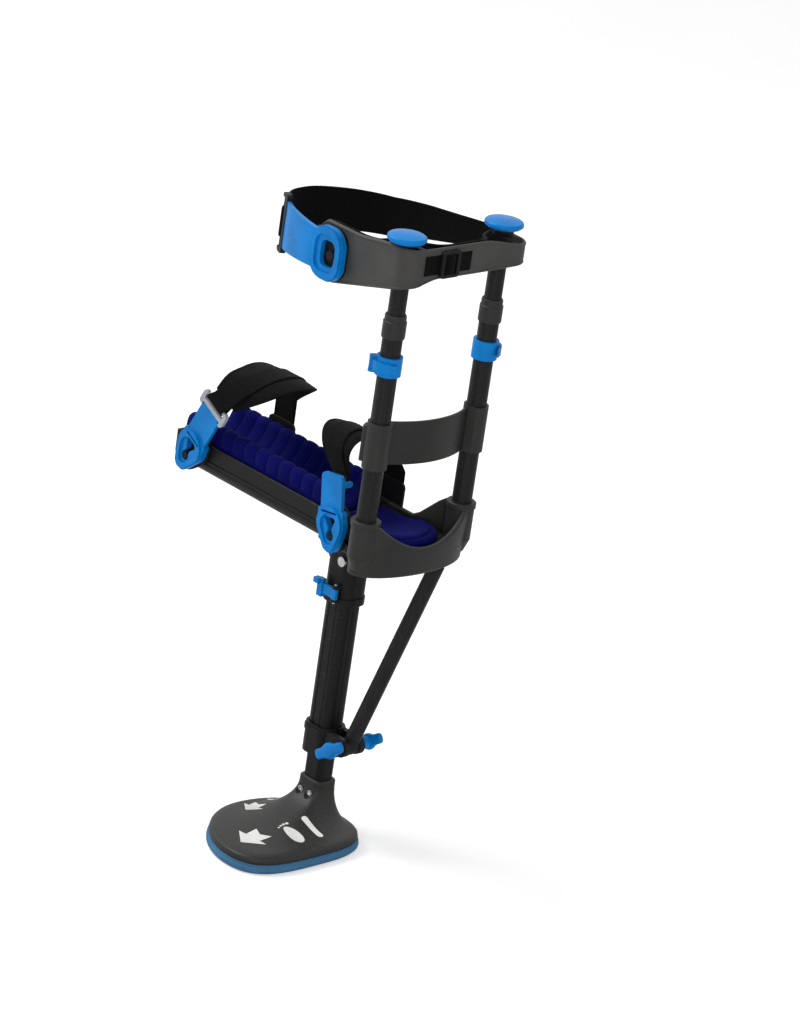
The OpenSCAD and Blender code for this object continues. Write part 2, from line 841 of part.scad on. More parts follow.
// Half outline of the shin cushion's section, from the valley to the flat base; d draws the crown in
function shin_half(d) =
    let (w = tray_half - tray_wall - 1 - soft_gap, top = side_z + wing_h - d)
    [[14, lerp(floor_z, top, 0.52) - d], [28, lerp(floor_z, top, 0.78)], [w - 13, top - 1.5],
     [w - 7, top], [w - 1, top - 3], [w + 1.5 - d, top - 10], [w + 1, side_z + 4], [w, side_z - 4],
     [w, floor_z + 14], [w - 3.5, floor_z + 5], [w - 9, floor_z + 1], [w - 12, floor_z]];
function shin_ring(x, d) =
    let (h = shin_half(d), n = len(h))
    concat([[x, 0, lerp(floor_z, side_z + wing_h - d, 0.48) - d]],
        [for (i = [0 : n - 1]) [x, -h[i].x, h[i].y]],
        [for (i = [n - 1 : -1 : 0]) [x, h[i].x, h[i].y]]);

module shin_cushion() {
    x0 = -tray_rear + 3;
    x1 = hoop_rear - soft_gap;
    count = floor((x1 - x0) / channel_pitch);
    step = (x1 - x0) / count;
    color(navy)
    difference() {
        loft(concat([shin_ring(x0, 6)],
            [for (k = [0 : count - 1]) each [
                shin_ring(x0 + step * (k + 0.1), k == 0 ? 2.5 : 1.2), shin_ring(x0 + step * (k + 0.35), 0),
                shin_ring(x0 + step * (k + 0.65), 0), shin_ring(x0 + step * (k + 0.9), 1.2)]],
            [shin_ring(x1, 5)]));
        for (s = [-1, 1])
            translate([-50, s * bolt_y, floor_z - 2])
                cylinder(r = 5, h = 5, $fn = 32);
    }
}

// Half width of the knee cushion along its sides, clear of the hoop's walls
function knee_side(x) = min(half_span - boss_r - 4, side_w(x) - tray_wall - 2 - soft_gap);
// Ring of the knee cushion: a round front and sides that follow the hoop's walls, drawn in by o
function knee_ring(o, z, dip) =
    let (back = hoop_rear + 12, mid = upright_x - 22, w = half_span - boss_r - 4, n = 28)
    [for (p = concat(
        [for (k = [0 : n]) let (t = -90 + 180 * k / n)
            [mid + (hoop_front - mid - tray_wall - 4 - o) * cos(t), (w - o) * sin(t)]],
        [for (k = [1 : 10]) let (x = lerp(mid, back + o, k / 10)) [x, knee_side(x) - o]],
        [for (k = [1 : 5]) [back + o, (knee_side(back) - o) * (1 - k / 3)]],
        [for (k = [10 : -1 : 1]) let (x = lerp(mid, back + o, k / 10)) [x, o - knee_side(x)]]))
        [p.x, p.y, z - dip * max(0, 1 - norm([p.x - mid, p.y]) / w)]];

module knee_cushion() {
    z = hoop_floor_z;
    color(navy)
    loft([knee_ring(3, z, 0), knee_ring(0.6, z + 2, 0), knee_ring(0, z + knee_pad_t * 0.35, 0),
        knee_ring(0.6, z + knee_pad_t * 0.6, 0), knee_ring(3, z + knee_pad_t * 0.85, 0),
        knee_ring(8, z + knee_pad_t, 0), knee_ring(16, z + knee_pad_t, 1), knee_ring(28, z + knee_pad_t - 1.5, 2),
        knee_ring(40, z + knee_pad_t - 4.5, 0)]);
}

// Uprights

module at_upright(s) {
    translate([upright_x, s * half_span, 0])
        children();
}

module upright(s) {
    color(black)
    at_upright(s)
        translate([0, 0, seat_z])
            difference() {
                cylinder(r = tube_r, h = upright_len, $fn = 72);
                translate([0, 0, -1])
                    cylinder(r = tube_r - tube_wall, h = upright_len + 2, $fn = 72);
            }
}
module upright_outboard() {
    upright(-1);
}
module upright_inboard() {
    upright(1);
}

module ferrule(s) {
    color(charcoal)
    at_upright(s)
        difference() {
            rotate_extrude($fn = 72)
                polygon([[0, ferrule_z], [tube_r + 1.6, ferrule_z], [tube_r + 2, ferrule_z + 1.5],
                    [tube_r + 2, ferrule_top - 9], [tube_r + 0.8, ferrule_top - 8],
                    [tube_r + 0.8, ferrule_top - 2], [tube_r - 0.2, ferrule_top], [0, ferrule_top]]);
            translate([0, 0, ferrule_z - 1])
                cylinder(r = tube_r + 0.02, h = upright_top - ferrule_z + 1, $fn = 72);
            cylinder(r = slide_r + slide_gap, h = 2 * upright_top, $fn = 72);
        }
}
module ferrule_outboard() {
    ferrule(-1);
}
module ferrule_inboard() {
    ferrule(1);
}

// Height clip: a collar on the tube with two lugs, and a curved lever on the lugs' pin

lug_turn = 135;

module at_clip(s) {
    at_upright(s)
        translate([0, 0, clip_mid])
            rotate(s * lug_turn)
                children();
}

module clip_collar(s) {
    color(azure)
    at_clip(s)
        difference() {
            union() {
                cylinder(r = clip_r, h = clip_h, center = true, $fn = 72);
                for (z = [-1, 1])
                    translate([0, 0, z * (clip_h / 2 - 3)])
                        linear_extrude(4, center = true) {
                            translate([lever_pin, 0])
                                circle(4, $fn = 40);
                            translate([0, -4])
                                square([lever_pin, 8]);
                        }
            }
            cylinder(r = tube_r + 0.02, h = clip_h + 2, center = true, $fn = 72);
            translate([lever_pin, 0, 0])
                cylinder(r = lever_pin_r + 0.05, h = clip_h + 2, center = true, $fn = 40);
        }
}
module clip_collar_outboard() {
    clip_collar(-1);
}
module clip_collar_inboard() {
    clip_collar(1);
}

module clip_pins() {
    color(steel)
    for (s = [-1, 1])
        at_clip(s)
            translate([lever_pin, 0, 0])
                cylinder(r = lever_pin_r, h = clip_h - 1, center = true, $fn = 40);
}

module clip_lever(s) {
    h = clip_h - 10 - 2 * free;
    r0 = clip_r + free;
    color(azure)
    at_clip(s)
        difference() {
            union() {
                translate([lever_pin, 0, 0])
                    cylinder(r = 3.7, h = h, center = true, $fn = 40);
                rotate(s > 0 ? -100 : 0)
                    translate([0, 0, -h / 2])
                        rotate_extrude(angle = 100, $fn = 72)
                            translate([r0 - 1, 0])
                                square([4.4, h]);
                rotate(s * -100)
                    translate([r0 + 0.6, s > 0 ? -10 : -3, 1 - h / 2])
                        cube([2.4, 13, h - 2]);
            }
            translate([lever_pin, 0, 0])
                cylinder(r = lever_pin_r + 0.05, h = clip_h, center = true, $fn = 40);
            cylinder(r = clip_r + free, h = clip_h, center = true, $fn = 72);
        }
}
module clip_lever_outboard() {
    clip_lever(-1);
}
module clip_lever_inboard() {
    mirror([0, 1, 0])
        clip_lever(-1);
}

// Front band and its brackets

band_t = 3;
band_half = half_span - tube_r - 4;
band_rise = band_bulge;
band_r = (band_half * band_half + band_rise * band_rise) / (2 * band_rise);
band_c = upright_x + band_rise - band_r;
band_a = asin(band_half / band_r);
band_mid = platform_z + band_z;

module band_sector(r0, r1, a0, a1, h) {
    translate([band_c, 0, band_mid - h / 2])
        rotate(a0)
            rotate_extrude(angle = a1 - a0, $fn = 180)
                translate([r0, 0])
                    square([r1 - r0, h]);
}

module front_band() {
    color(cuff_grey)
    band_sector(band_r - band_t / 2, band_r + band_t / 2, -band_a, band_a, band_h);
}

module band_bracket(s) {
    a = s > 0 ? band_a - 6 : -band_a - 3;
    color(charcoal)
    difference() {
        union() {
            at_upright(s)
                translate([0, 0, band_mid])
                    cylinder(r = tube_r + 3, h = band_h + 4, center = true, $fn = 72);
            band_sector(band_r - band_t / 2 - 3, band_r - band_t / 2, a, a + 9, band_h - 6);
            at_upright(s)
                translate([0, 0, band_mid])
                    rotate(s * 150)
                        translate([tube_r + 1, 0, 0])
                            linear_extrude(band_h - 10, center = true)
                                round_rect(12, 14, 3);
        }
        at_upright(s)
            cylinder(r = tube_r + 0.02, h = 3 * band_mid, $fn = 72);
        band_sector(band_r - band_t / 2, band_r + 20, -band_a - 0.05, band_a + 0.05, band_h + 8);
    }
}
module band_bracket_outboard() {
    band_bracket(-1);
}
module band_bracket_inboard() {
    band_bracket(1);
}

// Calf strap hooks on the outboard face of the tray

module at_hub(hub, tilt) {
    translate([hub.x, -tray_half, hub.y])
        rotate([90, tilt, 0])
            children();
}

// Shaped plate behind a hook, with the stud that its keyhole drops over
module anchor(hub, tilt) {
    color(black)
    at_hub(hub, tilt) {
        linear_extrude(tray_wall)
            taper(27, 4, 15, -20);
        translate([0, -12.5, 0])
            cylinder(r = 4.5, h = tray_wall + 9, $fn = 40);
    }
}
module rear_anchor() {
    anchor(rear_hub, rear_tilt);
}
module front_anchor() {
    anchor(front_hub, front_tilt);
}

// Keyhole of a hook: wide above for the thumb, narrow in the middle, round over the stud
module keyhole() {
    translate([0, -12])
        circle(6.5, $fn = 40);
    polygon([[-11, 12], [11, 12], [3.5, -2], [4.8, -8], [-4.8, -8], [-3.5, -2]]);
}
module hook_outline() {
    taper(24, 5, 13, -21);
    translate([0, 12])
        round_rect(45, 22, 5);
}

module hook_body(tab_top) {
    translate([0, 0, tray_wall + 0.6])
        difference() {
            union() {
                linear_extrude(hook_t - 3)
                    hook_outline();
                linear_extrude(hook_t)
                    difference() {
                        taper(22, 4, 11.5, -20);
                        taper(15, 2, 8, -15);
                    }
                translate([0, (tab_top + 16) / 2, 3])
                    linear_extrude(5)
                        round_rect(web_w, tab_top - 16, 7);
            }
            translate([0, 0, -1])
                linear_extrude(hook_t + 2)
                    keyhole();
            translate([0, 19, 6])
                linear_extrude(hook_t)
                    round_rect(28, 3, 1.4);
        }
}

module rear_hook() {
    color(azure)
    at_hub(rear_hub, rear_tilt)
        hook_body(rear_bar - 14);
}

// Light frame at the top of the rear hook, with the bar that holds the strap's roll
module rear_loop() {
    color(loop_grey)
    at_hub(rear_hub, rear_tilt)
        difference() {
            union() {
                translate([0, rear_bar - 8, tray_wall + 3.6])
                    linear_extrude(5)
                        difference() {
                            round_rect(web_w + 14, 22, 5);
                            translate([0, 9])
                                square([web_w + 1.4, 18], center = true);
                        }
                translate([0, rear_bar, tray_wall + 6.1])
                    rotate([0, 90, 0])
                        cylinder(r = bar_r, h = web_w + 6, center = true, $fn = 32);
            }
            translate([0, rear_bar - 24 + seat, 0])
                linear_extrude(30)
                    square([web_w + 2 * seat, 20], center = true);
        }
}

// Front hook: the bar of its strap sits behind the tab, between two lugs
module front_hook() {
    color(azure)
    at_hub(front_hub, front_tilt) {
        hook_body(front_bar + 12);
        for (s = [-1, 1])
            translate([s * (web_w / 2 - 1.5), front_bar, 0])
                rotate([0, 90, 0])
                    linear_extrude(3, center = true) {
                        translate([2, 0])
                            circle(3.6, $fn = 32);
                        translate([-tray_wall - 4.6, -3.6])
                            square([tray_wall + 6.6, 7.2]);
                    }
        translate([0, front_bar, -2])
            rotate([0, 90, 0])
                cylinder(r = bar_r, h = web_w - 2, center = true, $fn = 32);
    }
}

// Plates on the inboard face of the tray that hold the fixed ends of the calf straps
module strap_anchor(hub) {
    color(black)
    translate([hub.x, tray_half + 3, platform_z + 42])
        rotate([90, 0, 0])
            linear_extrude(3)
                round_rect(web_w + 12, 60, 8);
}
module rear_strap_anchor() {
    strap_anchor([rear_end_x, 0]);
}
module front_strap_anchor() {
    strap_anchor([front_end_x, 0]);
}

module strap_rivets() {
    color(steel)
    for (x = [rear_end_x, front_end_x], dx = [-10, 10], z = [22, 40])
        translate([x + dx, tray_half + 3 + web_t, platform_z + z])
            rotate([-90, 0, 0])
                rotate_extrude($fn = 32)
                    polygon([[0, 0], [4, 0], [3.4, 1.2], [1.8, 2], [0, 2.2]]);
}

// Place of a hook's bar in the frame: x, y and z
function bar_place(hub, tilt, up, out) =
    [hub.x + up * sin(tilt), -tray_half - out, hub.y + up * cos(tilt)];
rear_bar_p = bar_place(rear_hub, rear_tilt, rear_bar, tray_wall + 6.1);
front_bar_p = bar_place(front_hub, front_tilt, front_bar, -2);
rear_end_x = rear_bar_p.x + 6;
front_end_x = front_bar_p.x - 12;

// Calf strap: up from the inboard plate, over the calf and down to the roll on the hook's bar
module calf_strap(bar, tilt, end_x, shift, spread, end_w, rise) {
    y_in = tray_half + 3 + web_t / 2;
    y_out = bar.y + bar_r + 0.3 + web_t / 2;
    mid = (y_in + y_out) / 2;
    half = (y_in - y_out) / 2;
    n = 28;
    up = [for (k = [0 : 4]) [y_in, lerp(platform_z + 16, bar.z - 2, k / 4)]];
    over = [for (k = [1 : n]) let (t = 180 * k / n) [mid + half * cos(t), bar.z - 2 + rise * sin(t)]];
    path = concat(up, over);
    s = concat([for (k = [0 : 4]) 0], [for (k = [1 : n]) sin(180 * k / n)]);
    v = concat([for (k = [0 : 4]) 0], [for (k = [1 : n]) k / n]);
    mid_x = [for (k = [0 : len(path) - 1]) lerp(end_x, bar.x, v[k]) + shift * s[k]];
    half_w = [for (k = [0 : len(path) - 1]) lerp(web_w, end_w, v[k]) / 2 + spread * pow(s[k], 1.4) / 2];
    color(black) {
        rotate([90, 0, 90])
            ribbon(path, mid_x - half_w, mid_x + half_w, web_t, 0.6);
        translate(bar)
            rotate([0, 90 + tilt, 0])
                difference() {
                    cylinder(r = roll_r + web_t, h = end_w, center = true, $fn = 48);
                    cylinder(r = roll_r, h = end_w + 2, center = true, $fn = 48);
                }
    }
}
module rear_calf_strap() {
    calf_strap(rear_bar_p, rear_tilt, rear_end_x, 44, 66, web_w - 4, calf_rise);
}
module front_calf_strap() {
    calf_strap(front_bar_p, front_tilt, front_end_x, -48, 34, web_w - 10, calf_rise - 4);
}

// Thigh tubes, housings and caps

module thigh_tube(s) {
    foot = platform_z + slide_foot;
    color(black)
    at_upright(s)
        difference() {
            translate([0, 0, foot])
                cylinder(r = slide_r, h = cap_base - 1 - foot, $fn = 72);
            translate([0, 0, foot - 1])
                cylinder(r = stem_r, h = cap_base, $fn = 72);
            for (z = [foot + 20 : hole_pitch : ferrule_z - 5])
                translate([-slide_r, 0, z])
                    rotate([0, 90, 0])
                        cylinder(r = 3, h = 10, center = true, $fn = 32);
        }
}
module thigh_tube_outboard() {
    thigh_tube(-1);
}
module thigh_tube_inboard() {
    thigh_tube(1);
}

// Housing at the top of a thigh tube, with the rib that carries the cuff shell
module cap_housing(s) {
    z0 = cap_base - 44;
    rib = cuff_front - cuff_t - upright_x;
    color(black)
    difference() {
        union() {
            at_upright(s)
                rotate_extrude($fn = 72)
                    polygon([[0, z0], [slide_r + 1.2, z0], [housing_r, z0 + 3], [housing_r, cap_base - 4],
                        [housing_r - 1, cap_base - 1], [0, cap_base - 1]]);
            translate([upright_x, s * (half_span - 11) - 4, z0 + 8])
                cube([rib, 8, 30]);
        }
        at_upright(s)
            cylinder(r = slide_r + 0.02, h = 2 * cap_base, $fn = 72);
    }
}
module cap_housing_outboard() {
    cap_housing(-1);
}
module cap_housing_inboard() {
    cap_housing(1);
}

// Mushroom cap with a stem that turns in the thigh tube
module cap(s) {
    color(azure)
    at_upright(s)
        rotate_extrude($fn = 96)
            polygon(concat([[0, cap_base - 22], [stem_r - 0.08, cap_base - 22], [stem_r - 0.08, cap_base],
                [cap_r - 3, cap_base], [cap_r, cap_base + 2.5], [cap_r, cap_base + 4.5]],
                arc([cap_r - 3.5, cap_base + 4.5], 3.5, 10, 80, 5),
                [[cap_r * 0.6, cap_base + 9.2], [cap_r * 0.3, cap_base + 10], [0, cap_base + 10.3]]));
}
module cap_outboard() {
    cap(-1);
}
module cap_inboard() {
    cap(1);
}

// Thigh cuff

cuff_corner = 25;

// Plan path of the cuff, drawn in by o: wing, outboard corner, front, inboard corner, inboard end
function cuff_path(o) =
    let (y0 = -cuff_out + o, y1 = cuff_in - o, xf = cuff_front - o, r = cuff_corner - o)
    concat([for (k = [0 : 11]) [lerp(-cuff_rear, cuff_front - cuff_corner, k / 12), y0]],
        arc([xf - r, y0 + r], r, -90, 0, 7),
        [for (k = [1 : 8]) [xf + 1.5 * sin(180 * k / 9), lerp(y0 + r, y1 - r, k / 9)]],
        arc([xf - r, y1 - r], r, 0, 90, 7),
        [for (k = [1 : 4]) [lerp(xf - r, 66, k / 4), y1]]);
// Lower and upper edges of the cuff at plan point p
function cuff_low(p) = p.y < cuff_corner - cuff_out + 1
    ? cap_base - 56 - 36 * smooth((upright_x + 10 - p.x) / 90) + 20 * smooth((-18 - p.x) / (cuff_rear - 18))
    : cap_base - 44 - 12 * smooth((-half_span + 35 - p.y) / 40);
function cuff_high(p) = p.y < cuff_corner - cuff_out + 1
    ? cuff_top - 8 * smooth((upright_x - p.x) / 70) - 14 * smooth((-18 - p.x) / (cuff_rear - 18))
    : cuff_top - 12 * smooth((p.y - 20) / 80);

module cuff_shell() {
    path = cuff_path(cuff_t / 2);
    color(cuff_grey)
    ribbon(path, [for (p = path) cuff_low(p)], [for (p = path) cuff_high(p)], cuff_t, 1.4);
}

// Padding: it follows the shell and passes inside the two housings
module cuff_pad() {
    y0 = -cuff_out + cuff_t + soft_gap + pad_t / 2;
    y1 = cuff_in - cuff_t - soft_gap - pad_t / 2;
    xf = cuff_front - cuff_t - soft_gap - pad_t / 2;
    turn = housing_r + pad_t / 2 + 3;
    path = cut_corners([[-cuff_rear + 6, y0], [10, y0], [50, y0], [upright_x - turn - 8, y0],
        [upright_x - turn + 4, -half_span + turn - 8], [upright_x + 4, -half_span + turn + 6],
        [xf, -half_span + turn + 22], [xf + 1, 0], [xf, half_span - turn - 22],
        [upright_x + 4, half_span - turn - 6], [upright_x - turn + 4, half_span - turn + 8], [66, y1]], 2);
    color(black)
    ribbon(path, [for (p = path) cuff_low([p.x, p.y < -60 ? -cuff_out : p.y]) + 3],
        [for (p = path) cuff_high([p.x, p.y < -60 ? -cuff_out : p.y]) - 1.5], pad_t, 3.5);
}

// Webbing slider on the front of the cuff
module cuff_slider() {
    color(black)
    translate([cuff_front + 1.6, -34, cap_base - 24])
        rotate([90, 0, 90])
            linear_extrude(4)
                difference() {
                    round_rect(30, 34, 4);
                    for (s = [-1, 1])
                        translate([s * 7, 0])
                            round_rect(6, 26, 1.5);
                }
}

module at_thigh_hub() {
    translate([thigh_hub.x, -cuff_out, thigh_hub.y])
        rotate([90, 0, 0])
            children();
}

module thigh_anchor() {
    color(black)
    at_thigh_hub() {
        linear_extrude(3)
            round_rect(54, 66, 20);
        translate([8, 0, 0])
            cylinder(r = 6, h = 12, $fn = 48);
    }
}

// Thigh hook: a ring with a D-shaped window, and a curved tab to the rear
loop_turn = -26;
tab_end = 11.2;
module thigh_hook() {
    y0 = -cuff_out - 3.6;
    d = [cos(loop_turn), sin(loop_turn)];
    tab = cut_corners([thigh_bar + d * tab_end, thigh_bar + d * 31, [-64, y0 + 1], [-40, y0 - 3], [-20, y0 - 3.5]], 2);
    color(azure) {
        at_thigh_hub()
            translate([0, 0, 3.6])
                difference() {
                    union() {
                        linear_extrude(7)
                            round_rect(56, 68, 24);
                        linear_extrude(10)
                            difference() {
                                round_rect(52, 64, 22);
                                round_rect(38, 48, 15);
                            }
                    }
                    translate([2, 0, -1])
                        linear_extrude(20)
                            round_rect(25, 34, 9);
                }
        ribbon(tab, [for (p = tab) thigh_hub.y - lerp(31, 25, (p.x + 108) / 88)],
            [for (p = tab) thigh_hub.y + lerp(31, 25, (p.x + 108) / 88)], 5, 1.2);
    }
}

// Upright frame behind the thigh hook, with the bar that holds the strap's roll
module thigh_loop() {
    color(black)
    translate([thigh_bar.x, thigh_bar.y, thigh_hub.y]) {
        cylinder(r = bar_r, h = 70, center = true, $fn = 32);
        rotate([90, 0, loop_turn])
            difference() {
                linear_extrude(7, center = true)
                    difference() {
                        translate([5, 0])
                            round_rect(18, 76, 4);
                        translate([-0.5, 0])
                            square([15, 64], center = true);
                    }
                linear_extrude(5.2, center = true)
                    translate([tab_end - seat + 5, 0])
                        square([10, 62.4], center = true);
            }
    }
}

// Thigh strap: from the inboard end of the cuff, round the back, to the roll on the hook's frame
module thigh_strap() {
    y1 = cuff_in + web_t / 2 + 0.05;
    x2 = thigh_bar.x;
    y2 = thigh_bar.y + bar_r + 0.3 + web_t / 2;
    path = cut_corners([[92, y1], [46, y1], [26, y1 - 3], [0, y1 - 9], [-60, 90], [-118, 56],
        [-strap_rear, 0], [-strap_rear + 2, -40], [-strap_rear + 16, -70], [x2 - 2, y2]], 2);
    high = [for (k = [0 : len(path) - 1]) let (u = k / (len(path) - 1))
        lerp(lerp(cap_base - 17, thigh_hub.y + 24, min(1, 2 * u)), thigh_hub.y + 31, max(0, 2 * u - 1))];
    low = [for (k = [0 : len(path) - 1]) let (u = k / (len(path) - 1))
        lerp(lerp(cap_base - 42, thigh_hub.y - 26, min(1, 2 * u)), thigh_hub.y - 31, max(0, 2 * u - 1))];
    color(black) {
        ribbon(path, low, high, web_t, 0.6);
        translate([thigh_bar.x, thigh_bar.y, thigh_hub.y])
            difference() {
                cylinder(r = roll_r + web_t, h = 62, center = true, $fn = 48);
                cylinder(r = roll_r, h = 64, center = true, $fn = 48);
            }
    }
}

foot_tread();
foot_shell();
foot_bolts();
inner_post();
inner_post_plug();
outer_post();
post_collar();
strut_tube();
strut_lower_eye();
strut_upper_eye();
strut_lower_pin();
strut_upper_pin();
t_knob_outboard();
t_knob_inboard();
knee_hoop();
post_socket();
socket_bolt();
platform_bolts();
socket_clip();
socket_clip_pin();
leg_tray();
tray_end_cap();
shin_cushion();
knee_cushion();
upright_outboard();
upright_inboard();
ferrule_outboard();
ferrule_inboard();
clip_collar_outboard();
clip_collar_inboard();
clip_lever_outboard();
clip_lever_inboard();
clip_pins();
band_bracket_outboard();
band_bracket_inboard();
front_band();
rear_anchor();
front_anchor();
rear_hook();
rear_loop();
front_hook();
rear_strap_anchor();
front_strap_anchor();
strap_rivets();
rear_calf_strap();
front_calf_strap();
thigh_tube_outboard();
thigh_tube_inboard();
cap_housing_outboard();
cap_housing_inboard();
cap_outboard();
cap_inboard();
cuff_shell();
cuff_pad();
cuff_slider();
thigh_anchor();
thigh_hook();
thigh_loop();
thigh_strap();
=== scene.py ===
"""Hands free crutch: soft goods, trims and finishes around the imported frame, with its stage."""
import json
from functools import cache
from math import cos, pi, radians, sin

import bmesh
import bpy
import numpy as np
from mathutils import Matrix, Vector


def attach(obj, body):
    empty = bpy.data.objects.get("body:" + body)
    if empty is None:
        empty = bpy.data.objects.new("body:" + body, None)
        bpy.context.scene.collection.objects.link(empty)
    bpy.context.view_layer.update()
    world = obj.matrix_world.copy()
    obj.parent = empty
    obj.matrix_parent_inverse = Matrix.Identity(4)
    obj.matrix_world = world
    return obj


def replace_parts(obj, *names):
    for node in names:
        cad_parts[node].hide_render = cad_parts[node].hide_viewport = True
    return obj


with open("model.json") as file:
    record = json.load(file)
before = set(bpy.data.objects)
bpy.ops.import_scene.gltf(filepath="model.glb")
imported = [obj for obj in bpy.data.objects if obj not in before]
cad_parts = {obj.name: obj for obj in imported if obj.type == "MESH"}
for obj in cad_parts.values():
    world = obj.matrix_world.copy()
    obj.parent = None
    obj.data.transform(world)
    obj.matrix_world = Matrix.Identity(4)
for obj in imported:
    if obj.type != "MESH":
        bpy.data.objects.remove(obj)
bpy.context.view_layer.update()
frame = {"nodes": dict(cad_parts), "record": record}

bl_info = {
    "name": "Hands free crutch",
    "version": (1, 0, 0),
    "blender": (4, 5, 0),
    "location": "View3D > Sidebar > Crutch",
    "description": "Builds the pads, straps, trims, finishes and stage of a hands free crutch",
    "category": "Object",
}

MM = 0.001


# Settings


def colour(name, description, value):
    return bpy.props.FloatVectorProperty(
        name=name, description=description, subtype="COLOR", size=3, min=0, max=1, default=value)


def length(name, description, value, low=0.0, high=1.0):
    return bpy.props.FloatProperty(
        name=name, description=description, unit="LENGTH", precision=4, min=low, max=high, default=value)


def amount(name, description, value, unit="NONE"):
    return bpy.props.FloatProperty(name=name, description=description, unit=unit, min=0, default=value)


class CrutchColours(bpy.types.PropertyGroup):
    azure: colour("Azure", "Hooks, levers, caps and knobs", (0.001, 0.205, 0.60))
    tread: colour("Tread", "Rubber sole of the foot", (0.040, 0.150, 0.29))
    charcoal: colour("Charcoal", "Knee hoop and collars", (0.020, 0.020, 0.019))
    foot: colour("Foot", "Shell of the foot", (0.019, 0.019, 0.018))
    tube: colour("Tube", "Posts, strut and uprights", (0.0105, 0.0105, 0.0115))
    black: colour("Black", "Leg tray and small black mouldings", (0.009, 0.009, 0.009))
    cuff: colour("Cuff", "Thigh cuff shell", (0.056, 0.055, 0.053))
    pale: colour("Pale", "Frame behind the rear hook", (0.40, 0.43, 0.47))
    navy: colour("Navy", "Faces of the leg cushions", (0.0010, 0.0018, 0.080))
    lining: colour("Lining", "Cloth of the cuff padding", (0.008, 0.008, 0.009))
    webbing: colour("Webbing", "Woven straps", (0.0035, 0.0035, 0.004))
    thread: colour("Thread", "Sewing thread", (0.020, 0.020, 0.030))
    steel: colour("Steel", "Pins, bolts and rivets", (0.60, 0.61, 0.62))
    mark: colour("Mark", "Pictograms on the foot", (0.80, 0.80, 0.78))


class CrutchSizes(bpy.types.PropertyGroup):
    channel_crown: length("Channel crown", "Rise of each rib of the shin cushion", 0.0030, 0.0005, 0.006)
    seam_depth: length("Seam depth", "Depth of the sewn channels", 0.0016, 0.0, 0.004)
    band_thickness: length("Band thickness", "Thickness of the calf and thigh bands", 0.0030, 0.001, 0.0032)
    binding: length("Binding", "Radius of the binding along a band's edges", 0.0016, 0.0005, 0.003)
    stitch: length("Stitch", "Length of one visible stitch", 0.0034, 0.001, 0.008)
    puff_cap: length("Puff cap", "Most that the padding may swell", 0.0030, 0.0, 0.01)


class CrutchStage(bpy.types.PropertyGroup):
    floor: length("Floor", "Width of the floor", 24.0, 2.0, 60.0)
    key: amount("Key light", "Power of the large soft lamp", 92, "POWER")
    fill: amount("Fill light", "Power of the low lamp in front", 26, "POWER")
    world: amount("World", "Strength of the even light from all round", 0.50)


# Curves and sections


def lerp(a, b, u):
    return a + (b - a) * u


def smooth(u):
    """Eased step: 3v squared less 2v cubed, with v held from 0 to 1."""
    v = np.clip(u, 0, 1)
    return v * v * (3 - 2 * v)


def unit(v):
    """Vectors scaled to length one along the last axis."""
    return v / np.maximum(np.linalg.norm(v, axis=-1, keepdims=True), 1e-12)


def circle(n):
    """Angles of n points evenly round a circle, in radians."""
    return np.arange(n) / n * 2 * pi


def arc(centre, r, a, b, n):
    """Points on a circle: centre plus r times (cos t, sin t), with t from a to b in degrees."""
    t = np.radians(np.linspace(a, b, n + 1))
    return np.array(centre) + r * np.stack([np.cos(t), np.sin(t)], -1)


def squared(v, power):
    """A cosine or sine raised to a power with its sign kept, which squares off a circle."""
    return np.sign(v) * np.abs(v) ** power


def cut_corners(p, n):
    """Corner cutting: each span gives its points at a quarter and at three quarters, n times over."""
    p = np.asarray(p, float)
    for _ in range(n):
        q = np.empty((2 * len(p), p.shape[1]))
        q[0], q[-1] = p[0], p[-1]
        q[1:-1:2], q[2::2] = lerp(p[:-1], p[1:], 0.25), lerp(p[:-1], p[1:], 0.75)
        p = q
    return p


def closed_loop(p):
    """A path that ends where it starts."""
    return np.concatenate([p, p[:1]])


def run_of(p):
    """Distance along a path up to each of its points."""
    return np.concatenate([[0], np.cumsum(np.linalg.norm(np.diff(p, axis=0), axis=1))])


def reach(p):
    """Whole length of a path."""
    return float(run_of(p)[-1])


def even(p, n, *more):
    """The path at n points an equal distance apart, and any values that it carries at the same points."""
    s = run_of(p)
    t = np.linspace(0, s[-1], n)
    carried = [np.asarray(values, float).reshape(len(p), -1) for values in (p, *more)]
    found = [np.stack([np.interp(t, s, column) for column in values.T], -1) for values in carried]
    return found if more else found[0]


def tangents(p, closed=False):
    """Unit direction of a path at each point, from its neighbours on both sides."""
    if closed:
        return unit(np.roll(p, -1, 0) - np.roll(p, 1, 0))
    return unit(np.gradient(p, axis=0))


def right_of(path, closed=False):
    """Direction square to a flat path, on its right: (y, -x) of its tangent."""
    t = tangents(path, closed)
    return np.column_stack([t[:, 1], -t[:, 0]])


def raised(plan, z):
    """Plan points with their heights."""
    return np.column_stack([plan, np.broadcast_to(z, len(plan))])


def upright(n):
    """The upward direction, n times."""
    return np.tile([0.0, 0, 1], (n, 1))


def plumb(at, z0, z1, n):
    """Upright line of n points over one plan point, from z0 to z1."""
    return raised(np.tile(at, (n, 1)), np.linspace(z0, z1, n))


# Meshes

BEAD_SIDES, SIDE_ROWS = 10, 7
THREAD_R, THREAD_SIDES = 0.28, 6
PUFF_FRAMES, PUFF_PRESSURE, QUICK_PUFF = 20, 4.0, 0.6


def placed(name, data):
    """New object in the scene that holds the data."""
    obj = bpy.data.objects.new(name, data)
    bpy.context.scene.collection.objects.link(obj)
    return obj


def shade_smooth(mesh):
    mesh.polygons.foreach_set("use_smooth", np.ones(len(mesh.polygons), bool))


